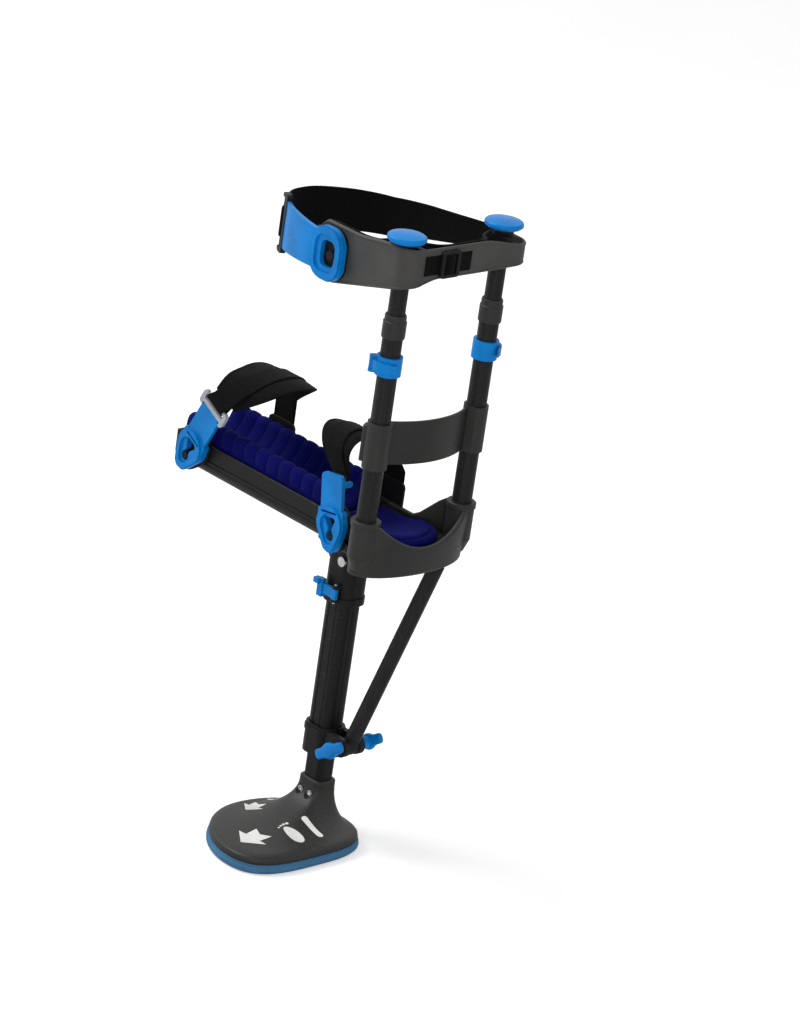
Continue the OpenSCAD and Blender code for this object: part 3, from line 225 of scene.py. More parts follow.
def new_piece(name, points, faces, uv=None, angle=None):
    """Object from points in millimetres, faces as lists of indices and, for each face corner, a UV in metres.
    Doubles are merged, each closed shell is turned outwards, and it is shaded smooth, sharp above the angle."""
    mesh = bpy.data.meshes.new(name)
    mesh.from_pydata(np.asarray(points) * MM, [], faces)
    if uv is not None:
        mesh.uv_layers.new(name="UVMap").uv.foreach_set("vector", np.asarray(uv, np.float32).ravel())
    bm = bmesh.new()
    bm.from_mesh(mesh)
    bmesh.ops.remove_doubles(bm, verts=bm.verts, dist=1e-6)
    bmesh.ops.dissolve_degenerate(bm, edges=bm.edges, dist=1e-6)
    bmesh.ops.recalc_face_normals(bm, faces=bm.faces)
    bm.to_mesh(mesh)
    bm.free()
    shade_smooth(mesh)
    if angle is not None:
        mesh.set_sharp_from_angle(angle=radians(angle))
    return placed(name, mesh)


def cells(m, n, along=False):
    """Rows, columns and point numbers of each quad's corners on a grid that closes round its columns:
    (i, j), (i + 1, j), (i + 1, j + 1) and (i, j + 1)."""
    i, j = np.meshgrid(np.arange(m if along else m - 1), np.arange(n), indexing="ij")
    rows = np.stack([i, i + 1, i + 1, i], -1).reshape(-1, 4)
    cols = np.stack([j, j, j + 1, j + 1], -1).reshape(-1, 4)
    return rows, cols, (rows % m) * n + cols % n


def surface(name, grid, along=False, uv=None, angle=None):
    """Closed surface over a grid of points: rows run along the piece and columns round it. Rows that don't
    close along it get flat caps."""
    m, n = grid.shape[:2]
    rows, cols, faces = cells(m, n, along)
    faces = faces.tolist()
    corner_uv = None if uv is None else uv[rows, cols].reshape(-1, 2)
    if not along:
        faces += [list(range(n)), list(range((m - 1) * n, m * n))]
        if uv is not None:
            corner_uv = np.concatenate([corner_uv, uv[0, :n], uv[m - 1, :n]])
    return new_piece(name, grid.reshape(-1, 3), faces, corner_uv, angle)


def band(name, centre, wide, out, half, thick, edge, cup=0.0, n=26):
    """Soft band laid at centre + a wide + b out, with a = s (half - r) + r cos f and b = r sin f times the
    crown, r being half its thickness. The crown falls from 1 to edge by (a / half) to the sixth, and the edges draw in
    by cup times (a / half) squared. UV is the distance across and along in metres."""
    half, r, cup = (np.broadcast_to(np.reshape(v, (-1, 1)), (len(centre), 1)) for v in (half, thick / 2, cup))
    flat = np.linspace(1, -1, n)
    turn = np.linspace(0, pi, SIDE_ROWS + 2)[1:-1]
    s = np.concatenate([-flat, np.ones(SIDE_ROWS), flat, -np.ones(SIDE_ROWS)])
    cos_f = np.concatenate([np.zeros(n), np.sin(turn), np.zeros(n), -np.sin(turn)])
    sin_f = np.concatenate([np.ones(n), np.cos(turn), -np.ones(n), -np.cos(turn)])
    a = s * (half - r) + r * cos_f
    crown = edge + (1 - edge) * np.clip(1 - (np.abs(a) / half) ** 6, 0, 1)
    b = r * sin_f * crown - cup * (a / half) ** 2
    grid = centre[:, None] + a[..., None] * wide[:, None] + b[..., None] * out[:, None]
    across = np.concatenate([a, a[:, :1]], 1)
    uv = np.stack([across, run_of(centre)[:, None] * np.ones_like(across)], -1) * MM
    return surface(name, grid, uv=uv)


def hoops(t, up, n):
    """Unit circles of n points square to each direction t: cos f side + sin f lift, side square to t and up."""
    side = unit(np.cross(t, np.broadcast_to(np.asarray(up, float), t.shape)))
    lift = np.cross(side, t)
    f = circle(n)
    return np.cos(f)[None, :, None] * side[:, None] + np.sin(f)[None, :, None] * lift[:, None]


def bead(name, path, radius, closed=False, up=(0, 0, 1)):
    """Round bead: the path plus the radius times its hoops. UV is the distance round and along in metres."""
    grid = path[:, None] + radius * hoops(tangents(path, closed), up, BEAD_SIDES)
    run = run_of(closed_loop(path) if closed else path)
    round_it = np.linspace(0, 1, BEAD_SIDES + 1) * radius * 2 * pi
    uv = np.stack(np.broadcast_arrays(round_it[None], run[:, None]), -1) * MM
    return surface(name, grid, along=closed, uv=uv)


def sew(name, path, pitch, size):
    """One row of stitches at every pitch along the path. A stitch is a spindle with rings at -0.5, -0.34, 0.34
    and 0.5 of the size, of 0.45, 1, 1 and 0.45 of the thread's radius."""
    n = max(2, int(reach(path) / pitch))
    p = even(path, 2 * n + 1)
    centre, along = p[1::2], unit(p[2::2] - p[:-1:2])
    at, fat = np.array([-0.5, -0.34, 0.34, 0.5]) * size, np.array([0.45, 1, 1, 0.45]) * THREAD_R
    up = np.where(np.abs(along[:, 2:]) < 0.9, [[0.0, 0.0, 1.0]], [[1.0, 0.0, 0.0]])
    points = (centre[:, None, None] + along[:, None, None] * at[None, :, None, None]
              + hoops(along, up, THREAD_SIDES)[:, None] * fat[None, :, None, None])
    first = np.arange(len(along))[:, None] * 4 * THREAD_SIDES
    sides = (first[:, None] + cells(4, THREAD_SIDES)[2][None]).reshape(-1, 4)
    cap = first + np.arange(THREAD_SIDES)
    faces = sides.tolist() + cap.tolist() + (cap + 3 * THREAD_SIDES).tolist()
    return new_piece(name, points.reshape(-1, 3), faces)


def join(name, parts):
    """Several new pieces as one mesh, kept as separate shells."""
    bm = bmesh.new()
    for part in parts:
        bm.from_mesh(part.data)
    mesh = bpy.data.meshes.new(name)
    bm.to_mesh(mesh)
    bm.free()
    for part in parts:
        bpy.data.objects.remove(part)
    return placed(name, mesh)


def evaluated(obj):
    return obj.evaluated_get(bpy.context.evaluated_depsgraph_get())


def baked(obj):
    """The object with its modifiers' result as its own mesh."""
    bpy.context.view_layer.update()
    mesh = bpy.data.meshes.new_from_object(evaluated(obj))
    obj.modifiers.clear()
    obj.data = mesh
    shade_smooth(mesh)
    return obj


def read(vertices, key):
    """One property of all vertices, as rows of three."""
    flat = np.empty(len(vertices) * 3, np.float32)
    vertices.foreach_get(key, flat)
    return flat.reshape(-1, 3)


def points_of(mesh):
    """The mesh's points in millimetres."""
    return read(mesh.vertices, "co").astype(float) / MM


def move_points(obj, points):
    obj.data.vertices.foreach_set("co", (points * MM).astype(np.float32).ravel())
    obj.data.update()


def swell(obj, voxel, cap, levels):
    """Padding: an even remesh, twenty frames of air pressure with no gravity, each point's travel held
    under the cap, and a last subdivision."""
    remesh = obj.modifiers.new("Remesh", "REMESH")
    remesh.mode, remesh.voxel_size = "VOXEL", voxel * MM
    baked(obj)
    start = points_of(obj.data)
    cloth = obj.modifiers.new("Cloth", "CLOTH")
    cloth.settings.use_pressure = True
    cloth.settings.uniform_pressure_force = PUFF_PRESSURE
    cloth.settings.effector_weights.gravity = 0
    cloth.point_cache.frame_start, cloth.point_cache.frame_end = 1, PUFF_FRAMES
    for f in range(1, PUFF_FRAMES + 1):
        bpy.context.scene.frame_set(f)
    end = points_of(evaluated(obj).to_mesh())
    obj.modifiers.clear()
    bpy.context.scene.frame_set(1)
    go = end - start
    far = np.linalg.norm(go, axis=1, keepdims=True)
    move_points(obj, start + go * np.minimum(1, cap / np.maximum(far, 1e-6)))
    soft = obj.modifiers.new("Subdivision", "SUBSURF")
    soft.levels = soft.render_levels = levels
    baked(obj)


def nearest(points, path):
    """For each point, the place of the nearest of 400 samples on a path, from 0 to 1, and its distance."""
    samples = even(path, 400)
    chunks = np.array_split(points, max(1, len(points) // 4000))
    far = [np.linalg.norm(chunk[:, None] - samples[None], axis=2) for chunk in chunks]
    return np.concatenate([d.argmin(1) for d in far]) / 399, np.concatenate([d.min(1) for d in far])


# Shader nodes and shared groups


class Net:
    """Short ways to add nodes to one tree. An input is another node's socket or a plain value."""

    def __init__(self, tree):
        self.tree = tree

    def feed(self, socket, source):
        """Puts a source into a socket; a plain colour gets its alpha."""
        if isinstance(source, bpy.types.NodeSocket):
            self.tree.links.new(source, socket)
        elif socket.type == "RGBA" and len(source) == 3:
            socket.default_value = (*source, 1)
        else:
            socket.default_value = source

    def node(self, kind, inputs=(), **settings):
        """Outputs of a new node with its settings, and sources by the name or number of their socket."""
        made = self.tree.nodes.new("ShaderNode" + kind)
        for key, value in settings.items():
            setattr(made, key, value)
        for socket, source in dict(inputs).items():
            self.feed(made.inputs[socket], source)
        return made.outputs

    def maths(self, operation, *values):
        return self.node("Math", enumerate(values), operation=operation)[0]

    def times(self, *values):
        return self.maths("MULTIPLY", *values)

    def plus(self, *values):
        return self.maths("ADD", *values)

    def ramp(self, value, low, high, out_low=0.0, out_high=1.0):
        """Value carried smoothly from the range low..high to out_low..out_high."""
        return self.node("MapRange", {"Value": value, "From Min": low, "From Max": high, "To Min": out_low,
                                      "To Max": out_high}, interpolation_type="SMOOTHSTEP")["Result"]

    def noise(self, at, scale, detail=2.0, **more):
        return self.node("TexNoise", {"Vector": at, "Scale": scale, "Detail": detail, **more})["Fac"]

    def mix(self, fac, a, b):
        return self.node("Mix", {0: fac, 6: a, 7: b}, data_type="RGBA")[2]

    def bump(self, height, strength, distance, **more):
        return self.node("Bump", {"Height": height, "Strength": strength, "Distance": distance, **more})[0]

    def group(self, build, *values):
        """Outputs of a shared group placed in this tree, with its own values."""
        return self.node("Group", enumerate(values), node_tree=build())

    def finish(self, *sources):
        """Feeds a group's outputs in order and gives its tree."""
        for socket, source in zip(self.tree.nodes["out"].inputs, sources):
            self.tree.links.new(source, socket)
        return self.tree


def shader_group(name, inputs, outputs):
    """New group: its nodes and its input sockets. A number makes a Float input and anything else a Vector one;
    an output is a Float, apart from a Normal."""
    tree = bpy.data.node_groups.new(name, "ShaderNodeTree")
    for label, value in inputs.items():
        kind = "NodeSocketFloat" if isinstance(value, float) else "NodeSocketVector"
        socket = tree.interface.new_socket(name=label, in_out="INPUT", socket_type=kind)
        if value is not None:
            socket.default_value = value
    for label in outputs:
        kind = "NodeSocketVector" if label == "Normal" else "NodeSocketFloat"
        tree.interface.new_socket(name=label, in_out="OUTPUT", socket_type=kind)
    tree.nodes.new("NodeGroupOutput").name = "out"
    return (Net(tree), *tree.nodes.new("NodeGroupInput").outputs[:len(inputs)])


@cache
def grain_group():
    """Moulded grain: fine pebbles and finer noise, as a height from 0 to 1, from a place and a cell size."""
    net, at, size = shader_group(
        "Moulded grain", {"Vector": None, "Cells per metre": 900.0}, ("Height", "Mask"))
    pebbles = net.node("TexVoronoi", {"Vector": at, "Scale": size}, feature="SMOOTH_F1")["Distance"]
    fine = net.noise(at, net.times(size, 2.7), 3.0)
    return net.finish(net.plus(net.times(pebbles, 0.7), net.times(fine, 0.45)), net.ramp(fine, 0.35, 0.7))


@cache
def wear_group():
    """Edge wear: the bevelled normal against the plain one, broken up by noise, with the bevelled normal."""
    net, at, width, strength = shader_group(
        "Edge wear", {"Vector": None, "Width": 0.0008, "Amount": 0.5}, ("Mask", "Normal"))
    rounded = net.node("Bevel", {"Radius": width}, samples=4)[0]
    plain = net.node("NewGeometry")["Normal"]
    likeness = net.node("VectorMath", {0: rounded, 1: plain}, operation="DOT_PRODUCT")["Value"]
    edge = net.ramp(net.maths("SUBTRACT", 1.0, likeness), 0.02, 0.22)
    broken = net.times(edge, net.ramp(net.noise(at, 190.0, 6.0, Roughness=0.7), 0.42, 0.66))
    return net.finish(net.times(broken, strength), rounded)


@cache
def dust_group():
    """Handling marks: soft clouds, long thin scratches, and dust that settles on faces that look up."""
    net, at, scale = shader_group(
        "Dust and scratches", {"Vector": None, "Scale": 22.0}, ("Clouds", "Scratches", "Dust"))
    clouds = net.noise(at, scale, 4.0)
    long = net.node("Mapping", {"Vector": at, "Rotation": (0.5, 0.3, 0.7), "Scale": (40, 900, 900)})[0]
    up = net.node("SeparateXYZ", {0: net.node("NewGeometry")["Normal"]})[2]
    dust = net.times(net.ramp(up, 0.35, 1.0), net.ramp(net.noise(at, 420.0, 5.0), 0.5, 0.72))
    return net.finish(net.ramp(clouds, 0.35, 0.68), net.ramp(net.noise(long, 1.0, 1.0), 0.66, 0.74), dust)


@cache
def weave_group():
    """Webbing weave from a UV in metres: ribs across the strap, each broken into staggered picks. Its Shade output is
    painted shade: darker in the hollows between picks and ribs, lighter on their tops, times random lint.
    """
    net, uv, picks = shader_group(
        "Webbing weave", {"UV": None, "Picks per metre": 700.0}, ("Height", "Shade"))
    xy = net.node("SeparateXYZ", {0: uv})
    across, run = net.times(xy[0], picks), net.times(xy[1], picks)
    odd = net.maths("PINGPONG", net.maths("FLOOR", across), 1.0)
    waves = net.plus(net.times(run, pi), net.times(net.times(odd, pi), 0.5)), net.times(across, pi)
    pick, rib = (net.maths("POWER", net.maths("ABSOLUTE", net.maths("SINE", v)), 0.6) for v in waves)
    height = net.times(pick, rib)
    lint = net.ramp(net.noise(uv, 160.0, 5.0), 0.2, 0.8, 0.7, 1.0)
    # Shade: painted shade from the weave's height, darkest in its hollows, times random lint
    return net.finish(height, net.times(net.plus(net.times(height, 0.7), 0.3), lint))


@cache
def cloth_group():
    """Knitted face of a pad from a place: crossed fine waves on three axes with soft fuzz over them. Its Shade output
    is painted shade from the knit's waves, darker in their hollows, times soft random clouds of tone.
    """
    net, at, rows = shader_group(
        "Knitted face", {"Vector": None, "Rows per metre": 1100.0}, ("Height", "Shade"))
    size = net.node("VectorMath", {0: at, 3: rows}, operation="SCALE")[0]
    x, y, z = (net.maths("SINE", net.times(axis, pi)) for axis in net.node("SeparateXYZ", {0: size}))
    knit = net.maths("ABSOLUTE", net.times(net.plus(x, z), net.plus(y, 0.4)))
    cloudy = net.ramp(net.noise(at, 36.0, 4.0), 0.3, 0.7, 0.72, 1.15)
    # Shade: painted shade, lighter where the knit rises, times random cloudy tone
    return net.finish(net.plus(net.times(knit, 0.4), net.noise(at, 900.0, 3.0)),
                      net.times(net.ramp(knit, 0.0, 1.2, 0.7, 1.1), cloudy))


@cache
def streak_group():
    """Drawn or turned metal: noise stretched along one axis."""
    net, at, stretch = shader_group(
        "Drawn streaks", {"Vector": None, "Stretch": (600.0, 600.0, 12.0)}, ("Height", "Mask"))
    place = net.node("VectorMath", {0: at, 1: stretch}, operation="MULTIPLY")[0]
    lines = net.noise(place, 1.0, 5.0, Roughness=0.6)
    return net.finish(lines, net.ramp(lines, 0.35, 0.65))


# Finishes

DUST, CLOTH_DUST, PAD_DUST = (0.42, 0.40, 0.37), (0.40, 0.38, 0.36), (0.40, 0.38, 0.42)
BARE_METAL, BRIGHT_EDGE = (0.34, 0.34, 0.35), (0.86, 0.86, 0.87)


def tint(base, share, more=0.0):
    """Colour times a share, plus an even amount."""
    return tuple(min(1, c * share + more) for c in base)


def moulding(net, place, base, rough, bump, wear, grain=900.0, edge=0.0009, gloss=0.28, dust=0.2):
    """Moulded plastic or rubber: grain, worn and lighter edges, clouds and scratches in the gloss, and dust."""
    at = place["Object"]
    height, speckle = net.group(grain_group, at, grain)
    worn, rounded = net.group(wear_group, at, edge, wear)
    clouds, scratches, dusty = net.group(dust_group, at, 22.0)
    lighter = tint(base, 1.7, 0.05)
    tone = net.mix(clouds, tint(base, 0.86), tint(base, 1.10))
    tone = net.mix(worn, tone, lighter)
    tone = net.mix(net.times(dusty, dust * 0.3), tone, DUST)
    tone = net.mix(net.times(scratches, 0.18), tone, lighter)
    shine = net.plus(net.times(clouds, 0.10), rough - 0.05)
    shine = net.plus(shine, net.times(speckle, 0.06))
    shine = net.plus(shine, net.times(dusty, dust * 0.4))
    return {"Base Color": tone, "Roughness": shine, "Specular IOR Level": gloss,
            "Normal": net.bump(height, bump, 0.0006, Normal=rounded)}


def drawn_tube(net, place, base, rough=0.36, wear=0.4):
    """Black anodised tube: long drawing lines, bare metal showing at worn edges and in a few scratches."""
    at = place["Object"]
    height, lines = net.group(streak_group, at, (700.0, 700.0, 9.0))
    worn, rounded = net.group(wear_group, at, 0.0007, wear)
    clouds, scratches, dusty = net.group(dust_group, at, 14.0)
    bare = net.maths("MAXIMUM", worn, net.times(scratches, 0.10))
    tone = net.mix(lines, tint(base, 0.8), tint(base, 1.3, 0.002))
    tone = net.mix(bare, tone, BARE_METAL)
    tone = net.mix(net.times(dusty, 0.10), tone, DUST)
    shine = net.plus(net.plus(net.times(clouds, 0.12), rough - 0.05), net.times(lines, 0.07))
    return {"Base Color": tone, "Roughness": shine, "Metallic": bare, "Specular IOR Level": 0.16,
            "Normal": net.bump(height, 0.05, 0.0004, Normal=rounded)}


def bright_metal(net, place, base):
    """Turned steel: fine lines, a little tarnish and a bright edge."""
    at = place["Object"]
    height, lines = net.group(streak_group, at, (1500.0, 60.0, 1500.0))
    worn, rounded = net.group(wear_group, at, 0.0004, 0.7)
    tone = net.mix(net.group(dust_group, at, 60.0)["Clouds"], tint(base, 0.72), base)
    return {"Base Color": net.mix(worn, tone, BRIGHT_EDGE), "Metallic": 1.0,
            "Roughness": net.plus(net.times(lines, 0.14), 0.22),
            "Normal": net.bump(height, 0.08, 0.0002, Normal=rounded)}


def woven(net, place, base, picks=700.0, rough=0.72):
    """Webbing, binding or thread: weave along its own UV, lint, and a soft sheen, with painted shade that darkens the
    weave's hollows and lightens its raised threads.
    """
    height, shade = net.group(weave_group, place["UV"], picks)
    dusty = net.group(dust_group, place["Object"], 40.0)["Dust"]
    # painted shade: the weave's hollows darker and its raised threads lighter
    tone = net.mix(shade, tint(base, 0.35), tint(base, 1.5, 0.002))
    return {"Base Color": net.mix(net.times(dusty, 0.015), tone, CLOTH_DUST),
            "Roughness": net.plus(net.times(shade, -0.14), rough), "Normal": net.bump(height, 0.55, 0.0005),
            "Sheen Weight": 0.01, "Sheen Roughness": 0.4, "Specular IOR Level": 0.04}


def padding(net, place, base, rows, sheen):
    """Knitted cloth over foam: fine rows, soft cloudy wear and a sheen at the turn, with painted shade darker in the
    knit's hollows.
    """
    at = place["Object"]
    height, shade = net.group(cloth_group, at, rows)
    clouds, _, dusty = net.group(dust_group, at, 30.0)
    # painted shade: the knit's hollows darker and its raised rows lighter
    tone = net.mix(shade, tint(base, 0.4), tint(base, 1.3, 0.0006))
    return {"Base Color": net.mix(net.times(dusty, 0.012), tone, PAD_DUST),
            "Roughness": net.plus(net.times(clouds, 0.10), 0.74), "Normal": net.bump(height, 0.35, 0.0006),
            "Sheen Weight": sheen, "Sheen Roughness": 0.4, "Specular IOR Level": 0.05}


# Each finish: its maker, its colour and the share of it that is used, and the maker's own values
FINISHES = {
    "azure_plastic": (moulding, "azure", 1.0, dict(rough=0.30, grain=1500.0, bump=0.02, wear=0.22, edge=0.0007,
                                                   gloss=0.14, dust=0.03)),
    "tread_rubber": (moulding, "tread", 1.0, dict(rough=0.62, grain=600.0, bump=0.16, wear=0.55, edge=0.0012,
                                                  gloss=0.35, dust=0.5)),
    "charcoal_plastic": (moulding, "charcoal", 1.0, dict(rough=0.46, grain=750.0, bump=0.12, wear=0.30,
                                                         edge=0.0010)),
    "black_plastic": (moulding, "black", 1.0, dict(rough=0.42, bump=0.07, wear=0.25, gloss=0.14)),
    "band_plastic": (moulding, "charcoal", 0.9, dict(rough=0.40, grain=1200.0, bump=0.05, wear=0.3)),
    "cuff_plastic": (moulding, "cuff", 1.0, dict(rough=0.50, grain=650.0, bump=0.14, wear=0.28, edge=0.0012)),
    "pale_plastic": (moulding, "pale", 1.0, dict(rough=0.40, grain=1100.0, bump=0.04, wear=0.2, dust=0.15)),
    "foot_plastic": (moulding, "foot", 1.0, dict(rough=0.44, grain=700.0, bump=0.10, wear=0.28, edge=0.0012)),
    "white_mark": (moulding, "mark", 1.0, dict(rough=0.5, grain=500.0, bump=0.05, wear=0.0, edge=0.0003,
                                               dust=0.4)),
    "black_tube": (drawn_tube, "tube", 1.0, {}),
    "post_tube": (drawn_tube, "tube", 0.45, dict(wear=0.3)),
    "bright_steel": (bright_metal, "steel", 1.0, {}),
    "navy_pad": (padding, "navy", 1.0, dict(rows=900.0, sheen=0.02)),
    "black_pad": (padding, "lining", 1.0, dict(rows=1200.0, sheen=0.03)),
    "webbing": (woven, "webbing", 1.0, {}),
    "binding": (woven, "webbing", 0.8, dict(picks=1400.0, rough=0.66)),
    "thread": (woven, "thread", 1.0, dict(picks=2500.0, rough=0.6)),
}


def new_material(name):
    """Material with a Principled shader: itself, its nodes, the shader and the places it can read."""
    made = bpy.data.materials.new(name)
    made.use_nodes = True
    net = Net(made.node_tree)
    return made, net, net.tree.nodes["Principled BSDF"], net.node("TexCoord")


def finish_of(scene, key):
    """The material of one kind of surface, made the first time that it is asked for."""
    name = key.replace("_", " ").capitalize()
    if name in bpy.data.materials:
        return bpy.data.materials[name]
    maker, hue, share, values = FINISHES[key]
    made, net, shader, place = new_material(name)
    base = tint(getattr(scene.crutch_colours, hue), share)
    for socket, source in maker(net, place, base, **values).items():
        net.feed(shader.inputs[socket], source)
    return made


def dress(scene, obj, key, body):
    """Gives a new piece its finish and its body."""
    obj.data.materials.clear()
    obj.data.materials.append(finish_of(scene, key))
    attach(obj, body)
    return obj


# Leg cushions

PLATFORM, FLOOR, HOOP_FLOOR, SIDE = 403.0, 408.0, 427.0, 445.0
SHIN_X0, SHIN_X1, SHIN_TOP, SHIN_W = -287.0, -10.6, 472.0, 44.4
SHIN_CHANNELS, RIB_ROWS, SHIN_END = 12, 14, 4.0
KNEE_BACK, KNEE_MID, KNEE_LONG, KNEE_W, TRAY_W, HOOP_W = 2.0, 79.0, 46.0, 58.7, 43.4, 83.4
KNEE_SEAM, PAD_PITCH = 13.0, 5.2


def shin_section(n):
    """Half of the shin cushion's outline in y and z, from the valley's middle over the wing to the base."""
    w, top, base = SHIN_W, SHIN_TOP, FLOOR + 0.3
    return even(cut_corners([
        [0, 438.7], [8, 438.9], [16, 442.5], [27, 455.5], [31.5, 468.5], [35.5, top - 0.6], [40, top - 0.6],
        [44.6, top - 4], [w + 1.4, top - 11], [w + 0.9, SIDE + 4], [w, SIDE - 4], [w, FLOOR + 14],
        [w - 3.5, FLOOR + 5], [w - 9, FLOOR + 1.2], [w - 14, base], [20, base], [0, base]], 3), n)


def at_x(x, section):
    """Sections in y and z, each at its own x."""
    return np.concatenate([np.broadcast_to(x[:, None, None], section.shape[:2] + (1,)), section], -1)


def shin_cushion(sizes):
    """Ribbed trough: the section swept along x, pushed out along its own normal by the ribs' crown where it
    shows. The crown is the square root of a sine over one channel. Both ends round in to the middle."""
    crown, depth = sizes.channel_crown / MM, sizes.seam_depth / MM
    half = shin_section(60)
    ring = np.concatenate([half * [-1, 1], half[-2:0:-1]])
    y, z = np.abs(ring[:, 0]), ring[:, 1]
    normal = right_of(ring, closed=True)
    normal *= np.sign(((ring - [0, 440]) * normal).sum())
    wing, valley = smooth((z - 446) / 7), (1 - smooth((y - 33) / 3)) * smooth((z - 428) / 5)
    shown = np.clip(wing + valley, 0, 1)
    x = np.linspace(SHIN_X0 + SHIN_END, SHIN_X1 - SHIN_END, SHIN_CHANNELS * RIB_ROWS + 1)
    phase = (x - x[0]) / (x[-1] - x[0]) * SHIN_CHANNELS
    push = (crown * np.sqrt(np.abs(np.sin(pi * phase))) - depth)[:, None] * shown
    body = ring + normal * push[..., None]
    middle = np.stack([ring[:, 0] * 0.93, np.where(y < 22, 424.0, 440.0)], -1)
    turn = np.radians(np.linspace(0, 90, 8)[1:])
    squeeze = np.cos(turn)[:, None, None] ** 0.45
    rear, front = (at_x(x[k] + way * SHIN_END * np.sin(turn), middle + (body[k] - middle) * squeeze)
                   for k, way in ((0, -1), (-1, 1)))
    obj = surface("shin_pad", np.concatenate([rear[::-1], at_x(x, body), front]))
    top = np.concatenate([half[:40][::-1] * [-1, 1], half[1:40]])
    lift = right_of(top)
    lift *= np.sign(lift[len(top) // 2, 1])
    line = top + lift * (0.35 - depth)
    seams = [sew("seam", np.insert(line, 0, at, axis=1), PAD_PITCH, sizes.stitch / MM)
             for at in x[RIB_ROWS:-RIB_ROWS:RIB_ROWS]]
    return obj, join("shin_pad_stitching", seams)


def knee_outline(o):
    """Plan of the knee cushion drawn in by o: a half ellipse in front, and sides that close to the tray."""
    t = np.radians(np.linspace(-90, 90, 41))
    front = np.stack([KNEE_MID + (KNEE_LONG - o) * np.cos(t), (KNEE_W - o) * np.sin(t)], -1)
    x = lerp(KNEE_MID, KNEE_BACK + o, np.arange(1, 13) / 12)
    side = np.stack([x, np.minimum(KNEE_W, lerp(TRAY_W, HOOP_W, smooth((x - 50) / 45))) - o], -1)
    rear = np.stack([np.full(5, KNEE_BACK + o), (TRAY_W - o) * (1 - np.arange(1, 6) / 3)], -1)
    return np.concatenate([front, side, rear, (side * [1, -1])[::-1]])


def knee_cushion(sizes):
    """Crowned pad: rings of the outline from its flat base over a round side to a shallow dish, swollen by
    air pressure, then sewn down inside its edge by a bell curve of the distance from the seam."""
    base = HOOP_FLOOR
    rings = [(7, 0.6), (4, 0.8), (2.6, 3), (2.4, 8), (3, 12), (5.5, 15.5), (10, 17), (17, 17), (27, 16),
             (36, 15)]
    obj = surface("knee_pad", np.stack([raised(knee_outline(o), base + h) for o, h in rings]))
    swell(obj, 4.0, sizes.puff_cap / MM, 2)
    p = points_of(obj.data)
    _, inside = nearest(p[:, :2], closed_loop(knee_outline(0)))
    dish = 3.0 * np.exp(-(((p[:, 0] - 72) / 34) ** 2 + (p[:, 1] / 30) ** 2))
    seam = sizes.seam_depth / MM * 1.3 * np.exp(-((inside - KNEE_SEAM) / 1.5) ** 2)
    p[:, 2] -= smooth((p[:, 2] - base - 11) / 4) * (dish + seam)
    p[:, 2] = np.maximum(p[:, 2], base + 0.3)
    move_points(obj, p)
    line = even(closed_loop(knee_outline(KNEE_SEAM)), 160)
    z = np.array([p[np.linalg.norm(p[:, :2] - place, axis=1) < 2.6][:, 2].max() for place in line])
    z = np.convolve(np.concatenate([z[-3:], z, z[:3]]), np.ones(7) / 7, "valid")
    return obj, sew("knee_pad_stitching", raised(line, z - 0.5), 5.4, sizes.stitch / MM)


class CRUTCH_OT_leg_cushions(bpy.types.Operator):
    """Builds the ribbed shin cushion and the knee cushion with their stitching"""
    bl_idname = "crutch.leg_cushions"
    bl_label = "Leg cushions"

    def execute(self, context):
        scene = context.scene
        for build, solid, fill in ((shin_cushion, "shin_cushion", 0.75), (knee_cushion, "knee_cushion", 0.7)):
            pad, thread = build(scene.crutch_sizes)
            dress(scene, pad, "navy_pad", "knee_frame")
            dress(scene, thread, "thread", "knee_frame")
            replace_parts(pad, solid)
        return {"FINISHED"}


# Thigh cuff

CUFF_OUT, CUFF_IN, CUFF_FRONT, CUFF_REAR, CUFF_T, CUFF_R = 98.0, 108.0, 130.0, 38.0, 4.0, 25.0
CAP_BASE, CUFF_TOP, UPRIGHT_X, HALF_SPAN = 839.0, 836.0, 101.0, 80.0
PAD_OUT, PAD_IN, PAD_FRONT, PAD_TURN, PAD_CLEAR = 87.4, 97.4, 119.4, 22.5, 4.0
PAD_ROWS, PAD_CHANNEL, PAD_EDGE, BINDING_R = 120, 46.0, 2.4, 2.3


def cuff_path(n):
    """Plan of the middle of the cuff's wall at n points: outboard wing, corner, front, corner, inboard."""
    o = CUFF_T / 2
    y0, y1, front_x, r = o - CUFF_OUT, CUFF_IN - o, CUFF_FRONT - o, CUFF_R - o
    wing = np.stack([lerp(-CUFF_REAR, CUFF_FRONT - CUFF_R, np.arange(12) / 12), np.full(12, y0)], -1)
    j = np.arange(1, 9) / 9
    front = np.stack([front_x + 1.5 * np.sin(pi * j), lerp(y0 + r, y1 - r, j)], -1)
    end = np.stack([lerp(front_x - r, 66, np.arange(1, 5) / 4), np.full(4, y1)], -1)
    corners = [arc([front_x - r, y0 + r], r, -90, 0, 7), arc([front_x - r, y1 - r], r, 0, 90, 7)]
    return even(np.concatenate([wing, corners[0], front, corners[1], end]), n)


def cuff_edges(p):
    """Lower and upper edge of the cuff at a plan point. The lower one rises steadily forwards on the wing."""
    low_wing = CAP_BASE - 87 + 0.27 * np.maximum(p[:, 0], 0) + 18 * smooth((-12 - p[:, 0]) / 26)
    low_front = CAP_BASE - 43 - 9 * smooth((-45 - p[:, 1]) / 45)
    high_wing = CUFF_TOP - 8 * smooth((UPRIGHT_X - p[:, 0]) / 70) - 14 * smooth((-18 - p[:, 0]) / 20)
    high_front = CUFF_TOP - 12 * smooth((p[:, 1] - 20) / 80)
    forward = smooth((p[:, 1] + CUFF_OUT) / 30)
    return lerp(low_wing, low_front, forward), lerp(high_wing, high_front, forward)


def cuff_shell():
    """Wall of the cuff: its plan from the lower edge to the upper one, with rounded edges."""
    path = cuff_path(240)
    low, high = cuff_edges(path)
    return band("cuff_wall", raised(path, (low + high) / 2), upright(240), raised(right_of(path), 0.0),
                (high - low) / 2, CUFF_T, edge=0.92, n=18)


